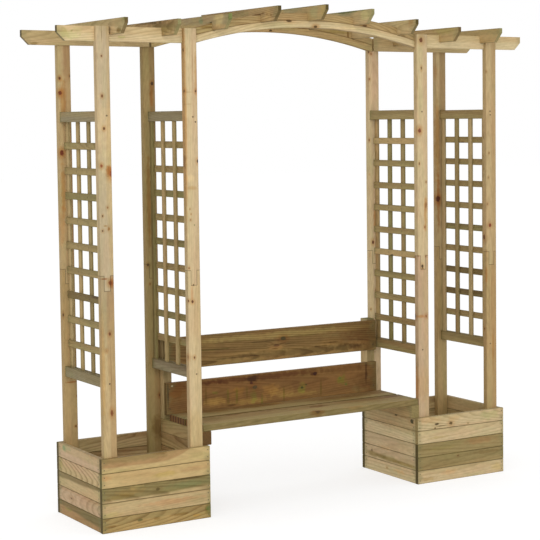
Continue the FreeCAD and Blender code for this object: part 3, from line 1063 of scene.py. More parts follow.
@dataclass
class Planter:
    """One planter box: four walls of boards, a floor and its nails.

    Attributes:
        side: Which end of the bench it stands at.
        front: Looks of the front boards, from the bottom up.
        outer: Looks of the boards away from the bench.
        inner: Looks of the boards towards the bench.
        back: Looks of the back boards.
        marks: Knots and stains by wall.
        corner_inset: From a wall's end to its nails.
        post_inset: From a side wall's end to the nails that hold a post.
        nail_spread: Share of a board's height between its two nails.
        finish: Finish of the walls.
        floor: Finish of the floor.
    """

    side: str
    front: Sequence[Look]
    outer: Sequence[Look]
    inner: Sequence[Look]
    back: Sequence[Look]
    marks: Dict[str, Sequence[Mark]]
    corner_inset: float = 0.011
    post_inset: float = 0.014
    nail_spread: float = 0.5
    finish: Finish = Finish(ring=0.0095, stain=0.38, reach=0.030, band_strength=0.85)
    floor: Finish = Finish(stain=0.3)

    def _wall(self, wall: str) -> Tuple[Vector, Vector, float]:
        """Give the low and high corner of a wall's box, and the height of one course."""
        low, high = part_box("planter_%s_%s_boards" % (self.side, wall))
        return low, high, (high.z - low.z + COURSE_GAP) / COURSES

    def dress(self, dresser: Dresser) -> None:
        """Give the walls and the floor their finishes.

        Args:
            dresser: What puts them on.
        """
        for wall in WALLS:
            low, _, pitch = self._wall(wall)
            along, through = (Axis.X, Axis.Y) if wall in ("front", "back") else (Axis.Y, Axis.X)
            lay = Lay(along, Axis.Z, through, COURSES, pitch, low.z + pitch / 2, pitch / 2)
            dresser.dress("planter_%s_%s_boards" % (self.side, wall), lay, getattr(self, wall), self.finish,
                          self.marks.get(wall, ()))
        name = "planter_%s_floor_boards" % self.side
        low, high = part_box(name)
        width = (high.y - low.y - (FLOOR_BOARDS - 1) * FLOOR_GAP) / FLOOR_BOARDS
        lay = Lay(Axis.X, Axis.Y, Axis.Z, FLOOR_BOARDS, width + FLOOR_GAP, low.y + width / 2, width / 2)
        dresser.dress(name, lay, [Look(Tone.TAN, Tone.OLIVE, 0.01 * n, 0.03, 60.0, 0.4)
                                  for n in range(FLOOR_BOARDS)], self.floor)
        LOG.info("planter %s dressed", self.side)

    def fix(self, fixings: Fixings) -> None:
        """Mark the nails: two in each end of each board.

        Args:
            fixings: Where to mark them.
        """
        for wall in WALLS:
            low, high, pitch = self._wall(wall)
            lengthwise = wall in ("front", "back")
            inset = self.corner_inset if lengthwise else self.post_inset
            run, through = (0, 1) if lengthwise else (1, 0)
            at_low = wall == "front" if lengthwise else (wall == "outer") == (self.side == "left")
            face, out = (low[through], -1.0) if at_low else (high[through], 1.0)
            for course in range(COURSES):
                middle = low.z + pitch * (course + 0.5)
                for height in (middle - pitch * self.nail_spread / 2, middle + pitch * self.nail_spread / 2):
                    for end in (low[run] + inset, high[run] - inset):
                        if lengthwise:
                            fixings.add(FixingShape.NAIL, (end, face, height), (0.0, out, 0.0))
                        else:
                            fixings.add(FixingShape.NAIL, (face, end, height), (out, 0.0, 0.0))


@dataclass
class Post:
    """One post, spliced from two lengths.

    Attributes:
        where: Its place in the row of posts.
        lower: Look of its lower length.
        upper: Look of its upper length.
        screws: Its screws, each by its distance from the post's left edge and its height.
        marks: Its knots and stains.
        finish: Finish of both lengths.
    """

    where: str
    lower: Look
    upper: Look
    screws: Sequence[Tuple[float, float]]
    marks: Sequence[Mark]
    finish: Finish = Finish(ring=0.0045, band_strength=0.50, blotch=0.30, stain=0.16, reach=0.035,
                            ring_strength=0.22, pin_knots=0.10, rim=0.35, rim_tone=Tone.EDGE_BROWN)

    def dress(self, dresser: Dresser) -> None:
        """Give the post its finish.

        Args:
            dresser: What puts it on.
        """
        dresser.dress("post_" + self.where, Lay(Axis.Z, Axis.X, Axis.Y), [self.lower, self.upper],
                      self.finish, self.marks, Splice())

    def fix(self, fixings: Fixings) -> None:
        """Mark the screws in the face that looks away from the middle.

        Args:
            fixings: Where to mark them.
        """
        low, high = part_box("post_" + self.where)
        face, out = (low.y, -1.0) if self.where.endswith("front") else (high.y, 1.0)
        for across, height in self.screws:
            fixings.add(FixingShape.SCREW, (low.x + across, face, height), (0.0, out, 0.0))


LATH_WOODS: Dict[str, Tuple[Tone, Tone]] = {
    "t": (Tone.TAN, Tone.OLIVE), "h": (Tone.HONEY, Tone.OLIVE), "w": (Tone.HONEY, Tone.UMBER),
    "u": (Tone.OLIVE, Tone.UMBER), "o": (Tone.OLIVE, Tone.DARK_OLIVE), "m": (Tone.MOSS, Tone.DARK_OLIVE),
    "d": (Tone.MOSS, Tone.DEEP_BROWN), "k": (Tone.DARK_OLIVE, Tone.DEEP_BROWN)}


@dataclass
class TrellisPanel:
    """A trellis panel: two rails, four uprights and nine cross laths.

    Attributes:
        where: Which pair of posts it stands between.
        seed: Number that sets its laths apart.
        rails: Looks of the bottom and the top rail.
        uprights: Kinds of wood of the uprights, from front to back, by their letters in LATH_WOODS.
        cross_laths: Kinds of wood of the cross laths, from the bottom up.
        marks: Knots and stains by node.
        finish: Finish of the rails.
        lath: Finish of the laths.
    """

    where: str
    seed: float
    rails: Tuple[Look, Look]
    uprights: str
    cross_laths: str
    marks: Dict[str, Sequence[Mark]] = field(default_factory=dict)
    finish: Finish = Finish(ring=0.006, band_strength=0.6, blotch=0.7, stain=0.5, reach=0.02, pin_knots=0.10)
    lath: Finish = Finish(ring=0.004, band_strength=0.6, blotch=0.8, stain=0.45, reach=0.015, pin_knots=0.12)

    def _row(self, name: str, across: Axis) -> Tuple[float, float]:
        """Give the middle of a row's first lath and the step to the next one."""
        base = "trellis_%s_" % self.where
        low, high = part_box(base + name)
        first, last = low[across.value], high[across.value]
        return first + LATH_WIDTH / 2, (last - first - LATH_WIDTH) / (len(getattr(self, name)) - 1)

    def dress(self, dresser: Dresser) -> None:
        """Give the rails and laths their finishes.

        Args:
            dresser: What puts them on.
        """
        base = "trellis_%s_" % self.where
        for name, look in zip(("bottom_rail", "top_rail"), self.rails):
            dresser.dress(base + name, Lay(Axis.Y, Axis.Z, Axis.X), [look], self.finish)
        for name, along, across, apart in (
            ("uprights", Axis.Z, Axis.Y, 3.0), ("cross_laths", Axis.Y, Axis.Z, 8.0)):
            kinds = getattr(self, name)
            first, pitch = self._row(name, across)
            looks = [Look(*LATH_WOODS[kind], 0.004 * ((number % 3) - 1), 0.01, self.seed + apart, 0.4)
                     for number, kind in enumerate(kinds)]
            lay = Lay(along, across, Axis.X, len(kinds), pitch, first, LATH_WIDTH / 2)
            dresser.dress(base + name, lay, looks, self.lath, self.marks.get(name, ()))
        LOG.info("trellis %s dressed", self.where)

    def fix(self, fixings: Fixings) -> None:
        """Mark a staple at each crossing, on the cross laths' face.

        Args:
            fixings: Where to mark them.
        """
        base = "trellis_%s_" % self.where
        low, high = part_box(base + "cross_laths")
        up_low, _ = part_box(base + "uprights")
        face, out = (low.x, -1.0) if low.x < up_low.x else (high.x, 1.0)
        height, rows = self._row("cross_laths", Axis.Z)
        depth, columns = self._row("uprights", Axis.Y)
        for row in range(len(self.cross_laths)):
            for column in range(len(self.uprights)):
                fixings.add(FixingShape.STAPLE, (face, depth + column * columns, height + row * rows),
                            (out, 0.0, 0.0))


@dataclass
class Roof:
    """Beams, arches and slats.

    Attributes:
        beams: Looks of the straight beams by node.
        strips: Looks of the arch strips by node.
        slats: Looks of the slats, from left to right.
        marks: Knots and stains by node.
        beam: Finish of the beams.
        strip: Finish of the arch strips.
        slat: Finish of the slats.
    """

    beams: Dict[str, Look]
    strips: Dict[str, Look]
    slats: Sequence[Look]
    marks: Dict[str, Sequence[Mark]]
    beam: Finish = Finish(ring=0.006, band_strength=0.6, blotch=0.4, stain=0.30, reach=0.05, rim=0.25,
                          rim_tone=Tone.EDGE_BROWN)
    strip: Finish = Finish(ring=0.005, band_strength=0.55, blotch=0.4, stain=0.20, reach=0.04,
                           rim_tone=Tone.EDGE_BROWN)
    slat: Finish = Finish(ring=0.006, band_strength=0.8, blotch=0.6, stain=0.35, reach=0.055, rim=0.6)

    def dress(self, dresser: Dresser) -> None:
        """Give the roof's timbers their finishes.

        Args:
            dresser: What puts them on.
        """
        for name, look in self.beams.items():
            dresser.dress(name, Lay(Axis.X, Axis.Z, Axis.Y), [look], self.beam, self.marks.get(name, ()))
        for name, look in self.strips.items():
            start = ARCH_RADIUS + (STRIP_DEPTH if name.endswith("upper") else 0.0)
            bend = Bend(start + STRIP_DEPTH / 2, ARCH_CROWN - ARCH_RADIUS)
            dresser.dress(name, Lay(Axis.X, Axis.Z, Axis.Y, half_width=STRIP_DEPTH / 2), [look], self.strip,
                          self.marks.get(name, ()), bend=bend)
        for number, look in enumerate(self.slats, start=1):
            name = "roof_slat_%d" % number
            dresser.dress(name, Lay(Axis.Y, Axis.Z, Axis.X), [look], self.slat, self.marks.get(name, ()))
        LOG.info("roof dressed")

    def fix(self, fixings: Fixings) -> None:
        """Mark a screw in each slat's top edge over the line of each arch.

        Args:
            fixings: Where to mark them.
        """
        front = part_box("arch_front_upper")
        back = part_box("arch_back_upper")
        for number in range(1, len(self.slats) + 1):
            low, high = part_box("roof_slat_%d" % number)
            for near, far in (front, back):
                fixings.add(FixingShape.SCREW, ((low.x + high.x) / 2, (near.y + far.y) / 2, high.z),
                            (0.0, 0.0, 1.0))


@dataclass
class Bench:
    """Bearers, battens, seat boards and back boards.

    Attributes:
        boards: Looks of the seat and back boards by node.
        frame: Looks of the bearers and battens by node.
        marks: Knots and stains by node.
        seat_inset: From a seat board's long edge to its screws.
        back_inset: From a back board's long edge to its screws.
        finish: Finish of the seat boards.
        back: Finish of the back boards.
        rough: Finish of the bearers, battens and cleats.
    """

    boards: Dict[str, Look]
    frame: Dict[str, Look]
    marks: Dict[str, Sequence[Mark]]
    seat_inset: float = 0.035
    back_inset: float = 0.028
    finish: Finish = Finish(ring=0.007, band_strength=0.8, blotch=0.6, stain=0.35, reach=0.05, ring_strength=0.35)
    back: Finish = Finish(ring=0.008, band_strength=0.9, blotch=0.8, stain=0.40, reach=0.05,
                          rim_tone=Tone.EDGE_BROWN)
    rough: Finish = Finish(stain=0.4)

    def dress(self, dresser: Dresser) -> None:
        """Give the bench's timbers their finishes.

        Args:
            dresser: What puts them on.
        """
        for name, look in self.boards.items():
            seat = name.startswith("seat")
            lay = Lay(Axis.X, Axis.Y, Axis.Z) if seat else Lay(Axis.X, Axis.Z, Axis.Y)
            dresser.dress(name, lay, [look], self.finish if seat else self.back, self.marks.get(name, ()))
        for name, look in self.frame.items():
            lay = Lay(Axis.Y, Axis.Z, Axis.X) if name.startswith("seat") else Lay(Axis.Z, Axis.Y, Axis.X)
            dresser.dress(name, lay, [look], self.rough)
        dresser.dress("planter_floor_cleats", Lay(Axis.Y, Axis.Z, Axis.X),
                      [Look(Tone.TAN, Tone.OLIVE, seed=91.0)], self.rough)
        LOG.info("bench dressed")

    def fix(self, fixings: Fixings) -> None:
        """Mark two screws in each end of each board, over its bearer or batten.

        Args:
            fixings: Where to mark them.
        """
        for name in self.boards:
            low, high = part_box(name)
            seat = name.startswith("seat")
            carrier = "seat_bearer_" if seat else "back_batten_"
            for side in SIDES:
                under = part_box(carrier + side)
                x = (under[0].x + under[1].x) / 2
                if seat:
                    for y in (low.y + self.seat_inset, high.y - self.seat_inset):
                        fixings.add(FixingShape.SCREW, (x, y, high.z), (0.0, 0.0, 1.0))
                else:
                    for z in (low.z + self.back_inset, high.z - self.back_inset):
                        fixings.add(FixingShape.SCREW, (x, low.y, z), (0.0, -1.0, 0.0))


@dataclass
class Studio:
    """The camera at the photograph's angle, plain soft light and a white floor.

    Attributes:
        place: Where the camera stands.
        heading: Compass direction of its view, in degrees from +Y towards +X.
        pitch: Tilt of its view, in degrees.
        roll: Turn about its view, in degrees.
        lens: Focal length, in millimetres.
        sensor: Width of the sensor, in millimetres.
        shift: Shift of the frame across and up.
        sky: Strength of the sky as it lights the object.
        key_power: Power of the lamp, in watts.
        key_size: Width of the lamp.
        key_place: Where the lamp stands.
        key_aim: The point that it faces.
        key_colour: Its colour.
        floor_half: Half the floor's width.
        floor_bounce: How bright the floor is as it lights the object.
        floor_share: How bright it is to the camera where only lamp and sky light it.
        floor_white: What the camera sees of the floor in full light.
    """

    place: Point = (-3.7916, -6.4310, 1.7085)
    heading: float = 33.153
    pitch: float = -4.026
    roll: float = -0.513
    lens: float = 108.4
    sensor: float = 36.0
    shift: Tuple[float, float] = (-0.1726, -0.0631)
    sky: float = 0.86
    key_power: float = 132.0
    key_size: float = 4.5
    key_place: Point = (-3.4, -5.6, 3.2)
    key_aim: Point = (0.0, 0.0, 1.0)
    key_colour: Point = (1.0, 0.985, 0.96)
    floor_half: float = 40.0
    floor_bounce: float = 0.78
    floor_share: float = 0.40
    floor_white: float = 1.02

    def camera(self) -> None:
        """Set up the camera."""
        heading, pitch, roll = (math.radians(a) for a in (self.heading, self.pitch, self.roll))
        ahead = Vector((math.sin(heading) * math.cos(pitch), math.cos(heading) * math.cos(pitch), math.sin(pitch)))
        right = Vector((math.cos(heading), -math.sin(heading), 0.0))
        up = right.cross(ahead)
        across = math.cos(roll) * right + math.sin(roll) * up
        upright = -math.sin(roll) * right + math.cos(roll) * up
        turn = Matrix((across, upright, -ahead)).transposed().to_4x4()
        data = bpy.data.cameras.new("camera")
        data.sensor_width = self.sensor
        data.lens = self.lens
        data.shift_x, data.shift_y = self.shift
        data.dof.use_dof = False
        data.clip_end = 100.0
        camera = bpy.data.objects.new("camera", data)
        camera.matrix_world = Matrix.Translation(Vector(self.place)) @ turn
        bpy.context.scene.collection.objects.link(camera)
        bpy.context.scene.camera = camera

    def light(self) -> None:
        """Set up the sky and one large soft lamp."""
        world = bpy.data.worlds.new("plain_sky")
        w = Wiring.fresh(world)
        strength = w.plus(self.sky, w.times(w.camera_sees(), 1.0 - self.sky))
        sky = w.node("ShaderNodeBackground", {"Strength": strength, "Color": WHITE})
        w.node("ShaderNodeOutputWorld", {0: sky.outputs[0]})
        bpy.context.scene.world = world
        data = bpy.data.lights.new("key", "AREA")
        data.shape = "DISK"
        data.size = self.key_size
        data.energy = self.key_power
        data.color = self.key_colour
        lamp = bpy.data.objects.new("key", data)
        spot = Vector(self.key_place)
        lamp.matrix_world = Matrix.Translation(spot) @ (
            (Vector(self.key_aim) - spot).to_track_quat("-Z", "Y").to_matrix().to_4x4())
        bpy.context.scene.collection.objects.link(lamp)

    def floor(self) -> None:
        """Lay a white floor that keeps the object's shadow."""
        far = self.floor_half
        mesh = bpy.data.meshes.new("floor")
        mesh.from_pydata([(-far, -far, 0.0), (far, -far, 0.0), (far, far, 0.0), (-far, far, 0.0)],
                         [], [(0, 1, 2, 3)])
        floor = bpy.data.objects.new("floor", mesh)
        material = bpy.data.materials.new("white_floor")
        w = Wiring.fresh(material)
        plain, lit = (w.node("ShaderNodeBsdfDiffuse", {"Color": (grey,) * 3 + (1.0,)})
                      for grey in (self.floor_bounce, self.floor_share))
        glow = w.node("ShaderNodeEmission", {"Strength": self.floor_white - self.floor_share * self.sky})
        both = w.node("ShaderNodeAddShader", {0: lit.outputs[0], 1: glow.outputs[0]})
        pick = w.node("ShaderNodeMixShader", {0: w.camera_sees(), 1: plain.outputs[0], 2: both.outputs[0]})
        w.node("ShaderNodeOutputMaterial", {0: pick.outputs[0]})
        mesh.materials.append(material)
        bpy.context.scene.collection.objects.link(floor)

    def build(self) -> None:
        """Set up camera, light and floor, with plain display settings."""
        bpy.context.scene.view_settings.view_transform = "Standard"
        self.camera()
        self.light()
        self.floor()


def planters() -> List[Planter]:
    """The two planters, with light and dark boards where the photograph has them."""
    left = Planter(
        "left",
        front=[Look(Tone.STRAW, Tone.GREY_OLIVE, 0.004, 0.02, 3.0, 0.5, Tone.END_DARK, figure=1.0, taper=0.07),
               Look(Tone.TAN, Tone.CLAY, 0.026, 0.0, 0.0, 0.5, Tone.END_DARK, figure=0.3),
               Look(Tone.TAN, Tone.GREY_OLIVE, -0.019, 0.018, 0.0, 1.0, Tone.END_DARK, figure=0.7),
               Look(Tone.SAP_YELLOW, Tone.STRAW, 0.0, -0.02, 0.0, 0.35, figure=0.35),
               Look(Tone.SAP_YELLOW, Tone.CLAY, -0.0155, 0.0, 0.0, 1.0, Tone.END_DARK, bow=1.8, figure=0.35)],
        outer=[Look(Tone.CLAY, Tone.DARK_OLIVE, 0.0, 0.02, 21.0, 0.95, Tone.END_DARK, figure=0.3),
               Look(Tone.ROSE_TAN, Tone.CLAY, 0.02, 0.0, 0.0, 0.45, Tone.END_DARK, figure=0.6, taper=0.16),
               Look(Tone.TAN, Tone.DARK_OLIVE, 0.011, -0.02, 0.0, 0.95, Tone.END_DARK, figure=0.3),
               Look(Tone.TAN, Tone.ROSE_TAN, 0.0, 0.05, 0.0, 0.35, Tone.END_SAGE, figure=1.0, taper=-0.2),
               Look(Tone.ROSE_TAN, Tone.TAN, 0.0, 0.0, 0.0, 0.4, Tone.END_BROWN, figure=0.25)],
        inner=[Look(Tone.HONEY, Tone.UMBER, 0.0, 0.02, 41.0, 0.5, figure=1.0)] * COURSES,
        back=[Look(Tone.TAN, Tone.UMBER, 0.01, 0.03, 51.0, 0.5, Tone.END_DARK, figure=0.7)] * COURSES,
        marks={
            "front": Face(Axis.Y, -240).marks(
                (-905, 308, 200, 22, 78, 87, 80, 40), (-931, 162, 90, 16, 112, 102, 90, 50),
                (-598, 280, 60, 20, 95, 102, 96, 40), (-779, 310, 35, 6, 78, 70, 62, 60),
                (-1043, 232, 30, 12, 108, 92, 86, 50), (-767, 218, 70, 13, 96, 98, 78, 50),
                (-638, 224, 60, 12, 90, 86, 86, 50), (-658, 161, 110, 16, 92, 110, 112, 40),
                (-648, 185, 130, 3.5, 52, 44, 34, 30), (-898, 180, 30, 10, 135, 133, 128, 90),
                (-977, 147, 80, 12, 95, 90, 74, 50), (-736, 97, 150, 14, 102, 88, 84, 50),
                (-1015, 76, 50, 14, 100, 104, 90, 40), (-1025, 27, 50, 6, 66, 58, 44, 50),
                (-803, 33, 20, 10, 72, 64, 50, 60), (-689, 35, 50, 6, 72, 64, 48, 60),
                (-618, 20, 20, 6, 115, 98, 72, 50), (-801, 158, 7, "5E4E28", 90, 20),
                (-887, 37, 6, "6E6436", 90, 20, 50), (-559, 42, 10, "7E8A4C", 75, 0),
                (-559, 42, 28, 28, 62, 66, 46, 90)),
            "outer": Face(Axis.X, -1057).marks(
                (157, 299, 12, "6F8F66", 50, 0), (135, 303, 50, 18, 82, 98, 88, 60),
                (194, 227, 25, 30, 84, 90, 72, 40), (-35, 236, 140, 20, 106, 100, 102, 90),
                (-143, 319, 120, 20, 100, 92, 92, 40), (-8, 131, 160, 12, 104, 100, 100, 40),
                (127, 35, 50, 8, 86, 104, 80, 50))})
    right = Planter(
        "right",
        front=[Look(Tone.PALE_TAN, Tone.TAN, 0.01, 0.0, 6.0, 0.3, Tone.END_DARK, figure=0.4),
               Look(Tone.OLIVE, Tone.GREY_OLIVE, -0.02, 0.03, 0.0, 0.55, Tone.END_DARK, figure=0.35),
               Look(Tone.OLIVE, Tone.GREY_OLIVE, 0.004, 0.02, 0.0, 0.55, Tone.END_DARK, figure=0.35),
               Look(Tone.PALE_TAN, Tone.TAN, 0.0, 0.02, 0.0, 0.45, Tone.END_TAN),
               Look(Tone.PALE_TAN, Tone.TAN, 0.01, 0.0, 0.0, 0.45, Tone.END_TAN, figure=0.8, taper=-0.12)],
        outer=[Look(Tone.TAN, Tone.OLIVE, 0.0, 0.02, 31.0, 0.4)] * COURSES,
        inner=[Look(Tone.CREAM, Tone.PALE_TAN, 0.01, 0.0, 33.0, 0.35, Tone.END_DARK, figure=0.4),
               Look(Tone.PALE_TAN, Tone.ROSE_TAN, 0.0, 0.0, 0.0, 0.35, Tone.END_DARK, figure=0.3),
               Look(Tone.PALE_TAN, Tone.ROSE_TAN, 0.0, 0.0, 0.0, 0.3, Tone.END_DARK, figure=0.25),
               Look(Tone.CREAM, Tone.TAN, 0.01, 0.02, 0.0, 0.4, Tone.STRAW),
               Look(Tone.TAN, Tone.OLIVE, 0.02, 0.0, 0.0, 0.5, Tone.STRAW)],
        back=[Look(Tone.TAN, Tone.UMBER, 0.01, -0.03, 56.0, 0.5, Tone.END_DARK, figure=0.7)] * COURSES,
        marks={
            "front": Face(Axis.Y, -240).marks(
                (620, 300, 70, 20, 104, 94, 88, 50), (976, 286, 60, 24, 88, 98, 84, 80),
                (766, 294, 40, 14, 105, 97, 90, 40), (689, 265, 38, 2.8, 42, 36, 26, 50),
                (660, 278, 10, 4, 45, 38, 28, 50), (666, 213, 70, 6, 86, 84, 70, 70),
                (964, 218, 60, 10, 92, 96, 94, 50), (915, 170, 100, 18, 106, 88, 84, 40),
                (677, 159, 100, 12, 94, 96, 84, 40), (736, 126, 110, 3.5, 122, 120, 112, 40),
                (945, 110, 100, 9, 80, 74, 66, 50), (606, 19, 50, 10, 84, 78, 66, 60),
                (735, 37, 60, 14, 104, 93, 84, 50), (1018, 30, 40, 20, 98, 95, 78, 40),
                (742, 272, 7.5, "5E4A26", 90, 50), (649, 258, 4, "5E4A2A", 90, 20), (843, 261, 4, "8A7A4A", 70, 20),
                (783, 111, 4, "6A4E2C", 90, 30), (660, 276, 5, "4E3E22", 90, 10, 40)),
            "inner": Face(Axis.X, 550).marks(
                (-23, 251, 130, 20, 105, 100, 100, 40), (-56, 198, 120, 15, 105, 102, 102, 40),
                (-134, 316, 50, 20, 92, 78, 62, 50), (145, 84, 70, 16, 62, 60, 44, 10),
                (75, 83, 60, 13, 64, 62, 46, 10), (-12, 81, 100, 14, 62, 60, 42, 10),
                (-131, 77, 120, 11, 66, 62, 42, 10), (-88, 33, 50, 10, 110, 94, 84, 80),
                (39, 128, 60, 10, 100, 92, 84, 50), (-58, 312, 11, "35371C", 90, 30),
                (-191, 293, 10, "34361C", 90, 30), (154, 100, 7, "4A4226", 90, 20, 160),
                (23, 35, 4, "9A7442", 70, 40))})
    return [left, right]


